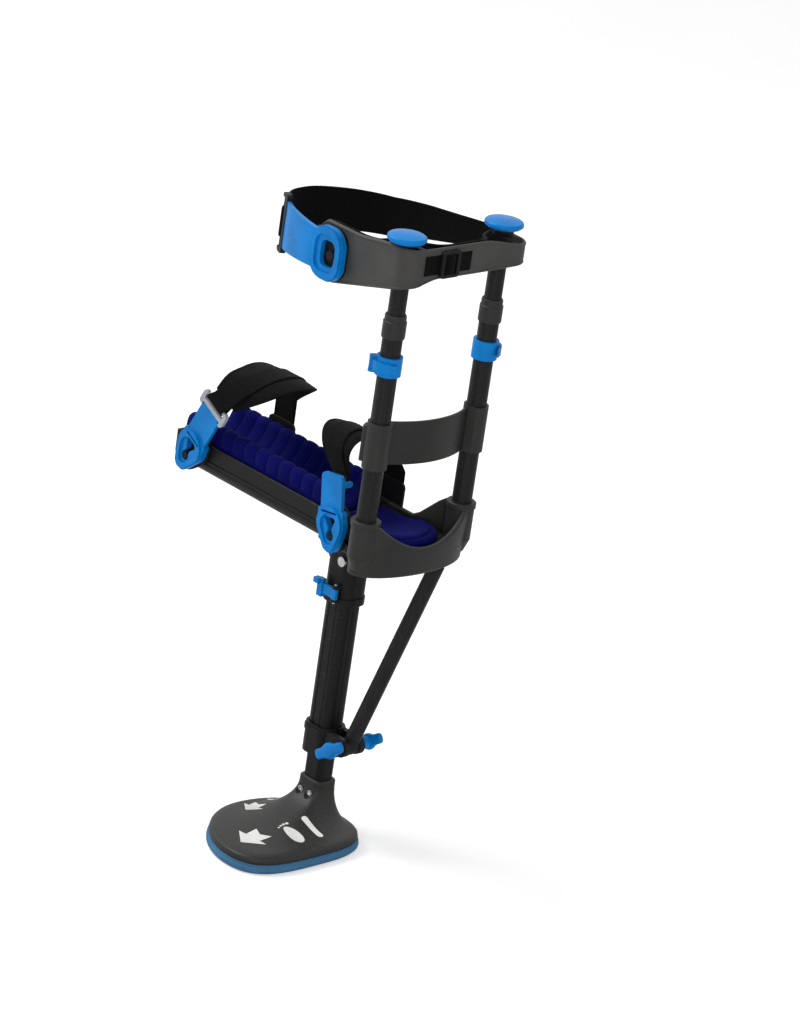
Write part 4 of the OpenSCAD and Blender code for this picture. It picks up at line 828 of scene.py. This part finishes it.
def cuff_trim():
    """Rolled rim: a slim bead along the whole edge of the cuff shell, on its outer face."""
    path = cuff_path(220)
    face = path + right_of(path) * (CUFF_T / 2 - 0.3)
    low, high = cuff_edges(path)
    low, high = low + 2.4, high - 2.4
    inboard, outboard = (plumb(face[k], high[k], low[k], 16)[1:-1] for k in (-1, 0))
    loop = np.concatenate([raised(face, high), inboard, raised(face, low)[::-1], outboard[::-1]])
    loop = even(closed_loop(loop), 620)[:-1]
    for _ in range(6):
        loop = (np.roll(loop, 1, 0) + 2 * loop + np.roll(loop, -1, 0)) / 4
    outwards = unit(raised((loop[:, :2] - [40, 0]) * [1, 0.9], 0.0))
    return bead("cuff_rim", loop, 1.0, closed=True, up=outwards)


def pad_path():
    """Plan of the padding's middle: along the shell and inside the two housings."""
    inner, span, turn, front = UPRIGHT_X + PAD_CLEAR, HALF_SPAN, PAD_TURN, PAD_FRONT
    return even(cut_corners([
        [-32, -PAD_OUT], [10, -PAD_OUT], [50, -PAD_OUT], [UPRIGHT_X - turn - 8, -PAD_OUT],
        [inner - turn, turn - span - 8], [inner, turn - span + 6], [front, turn - span + 22], [front + 1, 0],
        [front, span - turn - 22], [inner, span - turn - 6], [inner - turn, span - turn + 8], [66, PAD_IN]],
        3), PAD_ROWS)


def cuff_pad(sizes):
    """Soft lining: a rounded ribbon on the pad's plan, swollen by air pressure, with both its edges bound.
    Upright seams pinch its thickness by a bell curve of the distance from each."""
    path = pad_path()
    out = right_of(path)
    low, high = cuff_edges(path + out * 10.6)
    low, high = low + 3, high - 1.5
    middle = raised(path - out * 0.7, (low + high) / 2)
    obj = band("cuff_padding", middle, upright(PAD_ROWS), raised(out, 0.0), (high - low) / 2 - 2.0, 8.4,
               edge=0.9, n=14)
    swell(obj, 4.2, sizes.puff_cap / MM, 1)
    p = points_of(obj.data)
    where, _ = nearest(p[:, :2], path)
    row = np.clip((where * (PAD_ROWS - 1)).round().astype(int), 0, PAD_ROWS - 1)
    total = reach(path)
    count = int(total / PAD_CHANNEL)
    phase = where * count
    seam = phase.round()
    pinch = np.exp(-((phase - seam) * total / count / 2.6) ** 2) * (seam > 0) * (seam < count)
    away = ((p[:, :2] - path[row]) * out[row]).sum(1)
    p[:, :2] += out[row] * np.where(away < 0, pinch * 2.6, -pinch * 0.6)[:, None]
    away = ((p[:, :2] - path[row]) * out[row]).sum(1)
    p[:, :2] -= out[row] * np.maximum(0, away - 6.2)[:, None]
    move_points(obj, p)
    rows = [round(c / count * (PAD_ROWS - 1)) for c in range(1, count)]
    lines = [plumb(path[k] - out[k] * 4.4, low[k] + 5, high[k] - 5, 24) for k in rows]
    seams = [sew("seam", line, PAD_PITCH, sizes.stitch / MM) for line in lines]
    edges = [bead("edge", even(raised(path - out * 0.6, z)[2:-2], 150), BINDING_R)
             for z in (high - PAD_EDGE, low + PAD_EDGE)]
    return obj, join("cuff_padding_stitching", seams), join("cuff_padding_binding", edges)


class CRUTCH_OT_thigh_cuff(bpy.types.Operator):
    """Builds the cuff's wall and rolled rim, and its padding with binding and stitching"""
    bl_idname = "crutch.thigh_cuff"
    bl_label = "Thigh cuff"

    def execute(self, context):
        scene = context.scene
        pad, thread, binding = cuff_pad(scene.crutch_sizes)
        dress(scene, pad, "black_pad", "thigh_frame")
        dress(scene, thread, "thread", "thigh_frame")
        dress(scene, binding, "binding", "thigh_frame")
        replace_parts(pad, "cuff_pad")
        dress(scene, cuff_trim(), "cuff_plastic", "thigh_frame")
        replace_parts(dress(scene, cuff_shell(), "cuff_plastic", "thigh_frame"), "cuff_shell")
        return {"FINISHED"}


# Straps

REAR_BAR, FRONT_BAR = np.array([-216.865, -60.1, 508.845]), np.array([14.206, -48.0, 489.455])
THIGH_BAR, THIGH_SIDE, THIGH_FALL = np.array([-118.0, -80.0]), np.array([0.6, 0.8]), np.array([-0.8, 0.6])
ROLL_R, TAIL_GAP, TAIL_START, WEB_LIFT, WEB_T = 4.05, 1.7, 12.0, 2.3, 1.5
PLATE_Y, PLATE_RISE, PLATE_BAND, PLATE_WEB = 54.25, 16.0, 38.0, 34.0
BAND_INSET, BAND_PITCH, WEB_INSET, WEB_PITCH = 4.2, 5.0, 2.6, 4.6
THIGH_ROWS, THIGH_WEB = 150, 38.0


def turn_back(strand, wide, out, bar, inner, axis, tail=46.0):
    """Webbing round a bar: the strand down to the bar's inner side, 200 degrees of a circle from there towards
    the strand's own way, then a tail that lies on the strand's outer face."""
    inner, axis = np.asarray(inner, float), np.asarray(axis, float)
    fall = unit(strand[-1] - strand[-4])
    fall = unit(fall - inner * fall.dot(inner) - axis * fall.dot(axis))
    t = np.radians(np.linspace(0, 200, 24))[:, None]
    ring = bar + ROLL_R * (np.cos(t) * inner + np.sin(t) * fall)
    left = reach(strand) - run_of(strand)
    chosen = np.where((left > TAIL_START) & (left < tail))[0][::-1]
    flap = cut_corners(np.concatenate([ring[-1:], strand[chosen] + out[chosen] * TAIL_GAP]), 2)
    line = np.concatenate([strand, ring[1:], flap[1:]])
    across = np.concatenate([wide, np.tile(axis, (len(ring) - 1, 1)), even(wide[chosen], len(flap) - 1)])
    return line, unit(across)


def calf_band(bar, tilt, end_x, shift, spread, end_w, rise):
    """Middle, width direction, outward direction and half width of a calf band along its path: straight up from
    the inboard plate, over the calf on a half ellipse of that rise, and down to the hook's bar. With s the sine
    of the turn, the middle moves by shift times s, and the width grows by spread times s to the 1.4."""
    y_in, y_out, low = PLATE_Y, bar[1] + ROLL_R, bar[2] - 2
    t = np.linspace(0, pi, 90)
    straight = np.zeros(11)
    s, v = np.concatenate([straight, np.sin(t)]), np.concatenate([straight, t / pi])
    y = np.concatenate([straight + y_in, (y_in + y_out) / 2 + (y_in - y_out) / 2 * np.cos(t)])
    z = np.concatenate([lerp(PLATFORM + PLATE_RISE, low, np.linspace(0, 1, 12)[:-1]), low + rise * np.sin(t)])
    centre = np.column_stack([lerp(end_x, bar[0], v) + shift * s, y, z])
    half = lerp(PLATE_BAND, end_w, v) / 2 + spread * s ** 1.4 / 2
    turn = radians(tilt) * smooth((v - 0.6) / 0.4)
    wide = np.column_stack([np.cos(turn), np.zeros_like(turn), -np.sin(turn)])
    dy, dz = np.gradient(centre[:, 1:], axis=0).T
    return centre, wide, unit(np.column_stack([np.zeros_like(dy), dz, -dy])), half


def strap_set(scene, name, body, solid, padded, webbing, cup):
    """One strap: its padded band and its webbing, each from its middle, width direction, outward direction and
    half width, with the band's edge binding and the rows of stitches on both."""
    sizes = scene.crutch_sizes
    centre, wide, out, half = padded
    thick, stitch = sizes.band_thickness / MM, sizes.stitch / MM
    piece = dress(scene, band(name + "_band", *padded, thick, edge=0.5, cup=cup), "webbing", body)
    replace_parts(piece, solid)
    edges, threads = [], []
    for s in (-1, 1):
        line = centre + wide * (s * (half - 0.9))[:, None] - out * cup[:, None]
        edges.append(bead("edge", even(line, 140), sizes.binding / MM, up=(0.2, 0.1, 1)))
        inset = half - BAND_INSET
        for side in (-1, 1):
            face = (side * thick * 0.5 - cup * (inset / half) ** 2)[:, None]
            line = centre + wide * (s * inset)[:, None] + out * face
            threads.append(sew("stitches", even(line[4:-4], 160), BAND_PITCH, stitch))
    binding = dress(scene, join(name + "_binding", edges), "binding", body)
    web_centre, web_wide, web_out, web_half = webbing
    web = dress(scene, band(name + "_webbing", *webbing, WEB_T, edge=0.75, n=16), "webbing", body)
    for s in (-1, 1):
        line = web_centre + web_wide * (s * (web_half - WEB_INSET))[:, None] + web_out * 0.8
        threads.append(sew("stitches", even(line[2:-34], 160), WEB_PITCH, stitch))
    stitching = dress(scene, join(name + "_stitching", threads), "thread", body)


def lifted_strand(centre, out):
    """The webbing's strand: the band's middle from its third point, lifted off it except at its end."""
    n = len(centre) - 2
    return centre[2:] + out[2:] * (WEB_LIFT * smooth((n - 1 - np.arange(n)) / 8))[:, None]


def calf_strap(scene, name, bar, tilt, end_x, shift, spread, end_w, rise, clear):
    """A calf strap: its padded band stops short of the bar, and its webbing runs on and round it."""
    centre, wide, out, half = calf_band(bar, tilt, end_x, shift, spread, end_w, rise)
    left = reach(centre) - run_of(centre)
    centre = centre - out * (clear * smooth((left - 2) / 8) * (1 - smooth((left - 24) / 30)))[:, None]
    cup = 2.2 * np.sin(np.linspace(0, pi, len(centre)))
    strand = lifted_strand(centre, out)
    axis = (cos(radians(tilt)), 0, -sin(radians(tilt)))
    line, across = turn_back(strand, wide[2:], out[2:], bar, (0, 1, 0), axis)
    grown = np.linspace(PLATE_WEB / 2, end_w / 2, len(strand))
    web_half = np.append(grown, np.full(len(line) - len(strand), end_w / 2))
    line, across, web_half = even(line, 300, across, web_half)
    across = unit(across)
    webbing = line, across, unit(np.cross(tangents(line), across)), web_half[:, 0]
    strap_set(scene, name, "knee_frame", name + "_strap",
              [row[:-6] for row in (centre, wide, out, half)], webbing, cup[:-6])


class CRUTCH_OT_calf_straps(bpy.types.Operator):
    """Builds the two calf straps with their binding, webbing and stitching"""
    bl_idname = "crutch.calf_straps"
    bl_label = "Calf straps"

    def execute(self, context):
        calf_strap(context.scene, "rear_calf", REAR_BAR, tilt=27, end_x=REAR_BAR[0] + 6, shift=44,
                   spread=66, end_w=34, rise=50, clear=0.0)
        calf_strap(context.scene, "front_calf", FRONT_BAR, tilt=-8, end_x=FRONT_BAR[0] - 12, shift=-48,
                   spread=34, end_w=28, rise=46, clear=4.2)
        return {"FINISHED"}


def thigh_strap(scene):
    """Thigh strap: an upright band from the cuff's inboard end, round behind the thigh to the hook's bar."""
    n = THIGH_ROWS
    down = [THIGH_BAR + THIGH_SIDE * ROLL_R + THIGH_FALL * away for away in (25, 14, 0)]
    path = even(cut_corners([[92, 109.7], [46, 109.7], [26, 106.7], [0, 100.7], [-60, 90], [-118, 56],
                             [-150, 0], [-148, -38], *down], 3), n)
    u = np.linspace(0, 1, n)
    first, second = np.minimum(1, 2 * u), np.maximum(0, 2 * u - 1)
    high, low = lerp(lerp(822, 814, first), 821, second), lerp(lerp(797, 764, first), 759, second)
    padded = raised(path, (high + low) / 2), upright(n), raised(right_of(path), 0.0), (high - low) / 2
    centre, wide, out, _ = padded
    strand = lifted_strand(centre, out)
    bar = np.append(THIGH_BAR, centre[-1, 2])
    line, _ = turn_back(strand, wide[2:], out[2:], bar, (*THIGH_SIDE, 0), (0, 0, 1), tail=60.0)
    grown = np.append(np.linspace(11, THIGH_WEB / 2, n - 2), np.full(len(line) - n + 2, THIGH_WEB / 2))
    line, web_half = even(line, 320, grown)
    webbing = line, upright(320), unit(raised(right_of(line), 0.0)), web_half[:, 0]
    cup = 1.6 * np.sin(np.linspace(0, pi, n))
    strap_set(scene, "thigh", "thigh_frame", "thigh_strap", [row[:-8] for row in padded],
              webbing, cup[:-8])


def slider_webbing():
    """Webbing through the cuff's slider: flat on the shell, up through a slot, over the bar and down again."""
    line = even(cut_corners([
        [131.0, -72], [131.0, -56], [130.95, -48], [131.0, -43.2], [133.4, -41.0], [136.6, -38.6],
        [137.0, -34], [136.6, -29.4], [133.4, -27.0], [131.0, -24.8], [131.1, -20], [131.3, -12],
        [131.5, 2]], 3), 120)
    return raised(line, CAP_BASE - 24), upright(120), raised(right_of(line), 0.0), np.full(120, 12.4)


class CRUTCH_OT_thigh_strap(bpy.types.Operator):
    """Builds the thigh strap and the webbing through the cuff's slider"""
    bl_idname = "crutch.thigh_strap"
    bl_label = "Thigh strap"

    def execute(self, context):
        scene = context.scene
        thigh_strap(scene)
        rows = slider_webbing()
        piece = dress(scene, band("slider_webbing", *rows, 1.3, edge=0.75, n=14), "webbing", "thigh_frame")
        return {"FINISHED"}


# Foot

FOOT_FRONT, FOOT_BACK, FOOT_OUT, FOOT_IN, LOBE_LEAN = 98.0, 66.0, 177.0, 24.0, 21.0
TREAD_T, NECK_H, POST_W, POST_D, NECK_WALL = 13.0, 70.0, 33.0, 27.0, 3.5
FOOT_SIDES, NECK_SIDE = 180, POST_D / 2 + NECK_WALL
POCKET_R, POCKET_X, POCKET_DROP = 5.6, 8.5, 18.0
MARK_RINGS, MARK_SIDES = 8, 96


def foot_ring(o, z):
    """Outline of the foot grown by o, at a height: a superellipse, squarer at the front inboard corner, whose
    outboard lobe leans forward by the square of its reach."""
    c, s = np.cos(circle(FOOT_SIDES)), np.sin(circle(FOOT_SIDES))
    e = 2 / np.where(c < 0, 2.1, np.where(s > 0, 3.4, 2.25))
    a, b = (FOOT_FRONT + FOOT_BACK) / 2 - LOBE_LEAN / 8 + o, (FOOT_IN + FOOT_OUT) / 2 + o
    x, y = a * squared(c, e), b * squared(s, e)
    lean = LOBE_LEAN * np.minimum(0, y / b) ** 2
    return raised(np.stack([(FOOT_FRONT - FOOT_BACK) / 2 + x + lean, (FOOT_IN - FOOT_OUT) / 2 + y], -1), z)


def neck_ring(o, z):
    """Outline of the neck grown by o, at a height: a squarish superellipse round the post."""
    t = circle(FOOT_SIDES)
    return raised(np.stack([(POST_W / 2 + NECK_WALL + o) * squared(np.cos(t), 0.4),
                            (NECK_SIDE + o) * squared(np.sin(t), 0.4)], -1), z)


def foot_shell():
    """Shell of the foot: a rounded rim, then a flare from the rim's outline to the neck's by the sine of a
    quarter turn, which climbs by one less its cosine to the 1.22, and a straight neck. Four round pockets seat
    the bolts."""
    rim, top = TREAD_T + 9.5, NECK_H - 8
    rings = [foot_ring(o, TREAD_T + h) for o, h in
             ((-1, 0.2), (0, 1.6), (0.2, 4), (-0.4, 6.6), (-2, 8.5), (-4.5, 9.5))]
    for a in np.radians(np.arange(5, 90, 5)):
        z = lerp(rim + 0.4, top, (1 - cos(a)) ** 1.22)
        rings.append(lerp(foot_ring(-6, z), neck_ring(0, z), sin(a)))
    rings += [neck_ring(o, z) for o, z in
              ((0, top + 2), (0, NECK_H - 2.5), (-0.6, NECK_H - 0.8), (-1.6, NECK_H), (-4.5, NECK_H))]
    shell = surface("foot_cover", np.stack(rings), angle=50)
    f = circle(40)
    pockets = []
    for side in (-1, 1):
        for x in (-POCKET_X, POCKET_X):
            rim_x, rim_z = x + POCKET_R * np.cos(f), NECK_H - POCKET_DROP + POCKET_R * np.sin(f)
            ends = [np.stack([rim_x, np.full(40, side * y), rim_z], -1) for y in (NECK_SIDE, 60.0)]
            pockets.append(surface("pocket", np.stack(ends)))
    cutter = join("pockets", pockets)
    cut = shell.modifiers.new("Pockets", "BOOLEAN")
    cut.operation, cut.solver, cut.object = "DIFFERENCE", "EXACT", cutter
    baked(shell)
    bpy.data.objects.remove(cutter)
    shell.data.set_sharp_from_angle(angle=radians(40))
    return shell


def foot_tread():
    """Rubber sole: the foot's outline with a bulged edge, a groove under the shell and a bevelled base."""
    rings = ((-2.2, 0.0), (-0.4, 0.7), (0.8, 2.4), (2.0, 3.6), (2.4, 6.2), (2.0, 9.2), (0.9, 10.4),
             (0.5, 11.0), (0.9, 11.6), (1.0, 12.5), (0.4, TREAD_T), (-3, TREAD_T))
    return surface("sole", np.stack([foot_ring(o, z) for o, z in rings]), angle=50)


def flat_mark(outline, middle):
    """Painted mark: rings of the outline drawn in to its middle, dropped onto the shell and raised 0.12 mm."""
    points = even(closed_loop(outline), MARK_SIDES + 1)[:-1]
    rings = [raised(lerp(np.asarray(middle, float), points, k / MARK_RINGS), NECK_H - 8)
             for k in range(1, MARK_RINGS + 1)]
    faces = cells(MARK_RINGS, MARK_SIDES)[2].tolist() + [list(range(MARK_SIDES))]
    mark = new_piece("mark", np.concatenate(rings), faces)
    drop = mark.modifiers.new("Drop", "SHRINKWRAP")
    drop.wrap_method, drop.target, drop.offset = "PROJECT", bpy.data.objects["foot_cover"], 0.12 * MM
    drop.use_project_z, drop.use_negative_direction, drop.use_positive_direction = True, True, False
    return baked(mark)


def turned(points, degrees_round, place, size):
    """Plan points scaled, turned about their origin and put in place."""
    a = radians(degrees_round)
    return np.asarray(points, float) @ np.array([[cos(a), sin(a)], [-sin(a), cos(a)]]) * size + place


def foot_marks():
    """Plain pictograms on top of the foot: two broad arrows, a sole with four toes, and two rounded stripes."""
    t = np.linspace(0, 2 * pi, 60)[:-1]
    arrow = [[0, 17], [17, 1], [8.5, 1], [9.5, -14], [0, -8.5], [-9.5, -14], [-8.5, 1], [-17, 1]]
    sole = np.stack([(6.8 - 1.6 * np.sin(t - 0.5)) * np.cos(t), 14.5 * np.sin(t)], -1)
    stripe = np.concatenate([arc([0, 12], 3.4, 0, 180, 12), arc([0, -12], 3.4, 180, 360, 12)])
    sole_at = (52.0, -79.0)
    marks = [flat_mark(turned(outline, angle, at, size), at) for outline, angle, at, size in (
        (arrow, 187, (31.5, -127.7), 1.4), (sole, 88, sole_at, 1.3), (stripe, 90, (50.0, -46.0), 1.3),
        (arrow, 187, (-36.0, -70.0), 0.95), (stripe, 90, (-38.0, -36.0), 0.7))]
    for k in range(4):
        at = turned([5.6 - 3.6 * k, 18.6 - 0.5 * (k - 1) ** 2], 88, sole_at, 1.3)
        marks.append(flat_mark(arc(at, 2.3 - 0.25 * k, 0, 345, 23), at))
    return join("foot_marks", marks)


class CRUTCH_OT_foot(bpy.types.Operator):
    """Builds the foot's shell, its rubber sole and the plain pictograms on top"""
    bl_idname = "crutch.foot"
    bl_label = "Foot"

    def execute(self, context):
        scene = context.scene
        shell = dress(scene, foot_shell(), "foot_plastic", "lower_leg")
        sole = dress(scene, foot_tread(), "tread_rubber", "lower_leg")
        dress(scene, foot_marks(), "white_mark", "lower_leg")
        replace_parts(shell, "foot_shell")
        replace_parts(sole, "foot_tread")
        return {"FINISHED"}


# Knobs of the strut's pin

PIN_X, PIN_Z, KNOB_LONG, KNOB_LIFT, KNOB_OFF = 48.0, 132.0, 54.0, 34.0, 33.4
GRIP_FROM, GRIP_TO, GRIP_PITCH, FLUTES = 11.0, 24.0, 3.0, 12


def t_knob(name, side):
    """T-shaped knob: a fluted hub on the pin, and a bar across it. At u along the bar, its height swells at the
    hub and the ends, its section is a superellipse, and shallow ribs cross the two grips."""
    at = np.array([PIN_X, 0, PIN_Z])
    u = np.sin(np.linspace(-pi / 2, pi / 2, 97)) * KNOB_LONG / 2
    away = np.abs(u)
    end = np.sqrt(np.clip(1 - (away / (KNOB_LONG / 2)) ** 9, 0, 1))
    grip = smooth((away - GRIP_FROM) / 3) * smooth((GRIP_TO - away) / 2)
    ribs = 0.35 * grip * (0.5 + 0.5 * np.cos(u * 2 * pi / GRIP_PITCH))
    high = (6.6 + 4.2 * np.exp(-(u / 8.5) ** 2) + 0.9 * smooth((away - 12) / 12)) * end
    thick = (4.3 + 0.7 * np.exp(-(u / 9.0) ** 2) - ribs) * end
    f = circle(36)
    long_way = np.array([cos(radians(KNOB_LIFT)), 0, sin(radians(KNOB_LIFT))])
    high_way = np.array([-long_way[2], 0, long_way[0]])
    bar = (at + [0, side * KNOB_OFF, 0] + u[:, None, None] * long_way
           + (high[:, None] * squared(np.cos(f), 0.62))[..., None] * high_way
           + (thick[:, None] * squared(np.sin(f), 0.62))[..., None] * [0, 1, 0])
    y = np.array([16.9, 17.6, 24.0, 29.5, 32.0])[:, None] * side
    r = np.array([6.9, 7.6, 7.8, 8.6, 8.6])[:, None] + 0.35 * np.cos(FLUTES * f)[None]
    hub = np.stack([at[0] + r * np.cos(f), np.broadcast_to(y, r.shape), at[2] + r * np.sin(f)], -1)
    return join(name, [surface("bar", bar), surface("hub", hub)])


class CRUTCH_OT_knobs(bpy.types.Operator):
    """Builds the two T-shaped knobs at the foot of the strut"""
    bl_idname = "crutch.knobs"
    bl_label = "Strut knobs"

    def execute(self, context):
        for side, place in ((-1, "outboard"), (1, "inboard")):
            solid = "t_knob_" + place
            knob = dress(context.scene, t_knob("strut_knob_" + place, side), "azure_plastic", solid)
            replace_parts(knob, solid)
        return {"FINISHED"}


# Finishes of the frame's own parts

DARKER = {"leg_tray": "black_plastic", "post_collar": "black_plastic",
          "outer_post": "post_tube", "inner_post": "post_tube"}


class CRUTCH_OT_finishes(bpy.types.Operator):
    """Gives each part of the frame the finish that its record names, or a darker one"""
    bl_idname = "crutch.finishes"
    bl_label = "Frame finishes"

    def execute(self, context):
        for row in frame["record"]["subparts"]:
            made = finish_of(context.scene, DARKER.get(row["node"], row["material_slot"]))
            obj = frame["nodes"][row["node"]]
            if not obj.material_slots:
                obj.data.materials.append(made)
            for held in obj.material_slots:
                held.material = made
        return {"FINISHED"}


# Stage

LAMP_AIM = Vector((0, 0, 0.42))
KEY_AT, KEY_WIDE, FILL_AT, FILL_WIDE = (-2.1, -1.1, 3.4), 2.2, (2.6, -2.4, 1.4), 2.4
FLOOR_GLOW, PALE, PALER, WHITE = 0.42, (0.85, 0.85, 0.85), (0.875, 0.875, 0.875), (1, 1, 1, 1)
AZIMUTH, ELEVATION, ROLL, FOCAL_PX, AWAY, TARGET = 45.68, 21.2, 8.25, 4926.96, 6.1566, Vector((0, 0, 0.45))
FRAME_W, FRAME_H, TARGET_U, TARGET_V = 800, 1024, 357.89, 500.96


def lay_floor(width):
    """Plain pale floor, faintly mottled, that glows a little in the camera's sight alone."""
    w = width / 2
    mesh = bpy.data.meshes.new("floor")
    mesh.from_pydata([(-w, -w, 0), (w, -w, 0), (w, w, 0), (-w, w, 0)], [], [(0, 1, 2, 3)])
    placed("floor", mesh)
    made, net, shader, place = new_material("white_floor")
    speck = net.noise(place["Object"], 3.0)
    net.feed(shader.inputs["Base Color"], net.mix(net.ramp(speck, 0.3, 0.7), PALE, PALER))
    net.feed(shader.inputs["Roughness"], net.ramp(speck, 0.2, 0.8, 0.68, 0.76))
    shader.inputs["Specular IOR Level"].default_value = 0.2
    seen = net.times(net.node("LightPath")["Is Camera Ray"], FLOOR_GLOW)
    glow = net.node("Emission", {"Color": WHITE, "Strength": seen})
    both = net.node("AddShader", {0: shader.outputs[0], 1: glow[0]})
    net.feed(net.tree.nodes["Material Output"].inputs["Surface"], both[0])
    mesh.materials.append(made)


def hang_lamp(name, at, size, power):
    """Round soft lamp that faces the object."""
    light = bpy.data.lights.new(name, "AREA")
    light.shape, light.size, light.energy = "DISK", size, power
    lamp = placed(name, light)
    lamp.location = at
    lamp.rotation_euler = (LAMP_AIM - Vector(at)).to_track_quat("-Z", "Y").to_euler()


def light_world(scene, strength):
    """Even white world: full strength where the camera, a mirror or glass sees it, and less as light."""
    scene.world = bpy.data.worlds.new("studio")
    scene.world.use_nodes = True
    net = Net(scene.world.node_tree)
    seen = net.node("LightPath")
    direct = net.maths("MAXIMUM", net.maths("MAXIMUM", seen["Is Camera Ray"], seen["Is Transmission Ray"]),
                       seen["Is Glossy Ray"])
    back = net.tree.nodes["Background"]
    net.feed(back.inputs["Color"], WHITE)
    net.feed(back.inputs["Strength"], net.plus(net.times(direct, 1.0 - strength), strength))


def set_camera(scene):
    """Camera at the photograph's place: turned round the target by azimuth, elevation and roll, and aimed so
    that the target lands on its own pixel of the frame."""
    a, e, r = radians(AZIMUTH), radians(ELEVATION), radians(ROLL)
    back = Vector((sin(a) * cos(e), -cos(a) * cos(e), sin(e)))
    right = (-back).cross(Vector((0, 0, 1))).normalized()
    up = right.cross(-back)
    right, up = right * cos(r) + up * sin(r), up * cos(r) - right * sin(r)
    aside, below = (FRAME_W / 2 - TARGET_U) / FOCAL_PX, (FRAME_H / 2 - TARGET_V) / FOCAL_PX
    ahead = (-back + right * aside - up * below).normalized()
    right = (right - ahead * right.dot(ahead)).normalized()
    data = bpy.data.cameras.new("camera")
    data.sensor_width, data.lens = 36, 36 * FOCAL_PX / FRAME_H
    data.clip_start, data.clip_end = 0.1, 100
    scene.camera = placed("camera", data)
    turn = Matrix((right, right.cross(ahead), -ahead)).transposed().to_4x4()
    scene.camera.matrix_world = Matrix.Translation(TARGET + back * AWAY) @ turn


class CRUTCH_OT_stage(bpy.types.Operator):
    """Sets the floor, the soft lamps, the even world and the camera"""
    bl_idname = "crutch.stage"
    bl_label = "Stage"

    def execute(self, context):
        scene, stage = context.scene, context.scene.crutch_stage
        lay_floor(stage.floor)
        hang_lamp("key", KEY_AT, KEY_WIDE, stage.key)
        hang_lamp("fill", FILL_AT, FILL_WIDE, stage.fill)
        light_world(scene, stage.world)
        set_camera(scene)
        scene.view_settings.view_transform = "Standard"
        return {"FINISHED"}


class CRUTCH_PT_panel(bpy.types.Panel):
    """Builds the crutch's soft goods, finishes and stage"""
    bl_idname = "CRUTCH_PT_panel"
    bl_label = "Hands free crutch"
    bl_space_type = "VIEW_3D"
    bl_region_type = "UI"
    bl_category = "Crutch"

    def draw(self, context):
        for kind in OPERATORS:
            self.layout.operator(kind.bl_idname)
        scene = context.scene
        for settings in (scene.crutch_colours, scene.crutch_sizes, scene.crutch_stage):
            column = self.layout.column()
            for key in settings.__annotations__:
                column.prop(settings, key)


OPERATORS = (CRUTCH_OT_leg_cushions, CRUTCH_OT_thigh_cuff, CRUTCH_OT_calf_straps, CRUTCH_OT_thigh_strap,
             CRUTCH_OT_foot, CRUTCH_OT_knobs, CRUTCH_OT_finishes, CRUTCH_OT_stage)
CLASSES = (CrutchColours, CrutchSizes, CrutchStage, *OPERATORS, CRUTCH_PT_panel)


def register():
    for kind in CLASSES:
        bpy.utils.register_class(kind)
    bpy.types.Scene.crutch_colours = bpy.props.PointerProperty(type=CrutchColours)
    bpy.types.Scene.crutch_sizes = bpy.props.PointerProperty(type=CrutchSizes)
    bpy.types.Scene.crutch_stage = bpy.props.PointerProperty(type=CrutchStage)


def unregister():
    del bpy.types.Scene.crutch_colours, bpy.types.Scene.crutch_sizes, bpy.types.Scene.crutch_stage
    for kind in reversed(CLASSES):
        bpy.utils.unregister_class(kind)


def main():
    register()
    for kind in OPERATORS:
        area, name = kind.bl_idname.split(".")
        if getattr(getattr(bpy.ops, area), name)() != {"FINISHED"}:
            raise RuntimeError(kind.bl_idname + " did not finish")


if __name__ == "__main__":
    main()
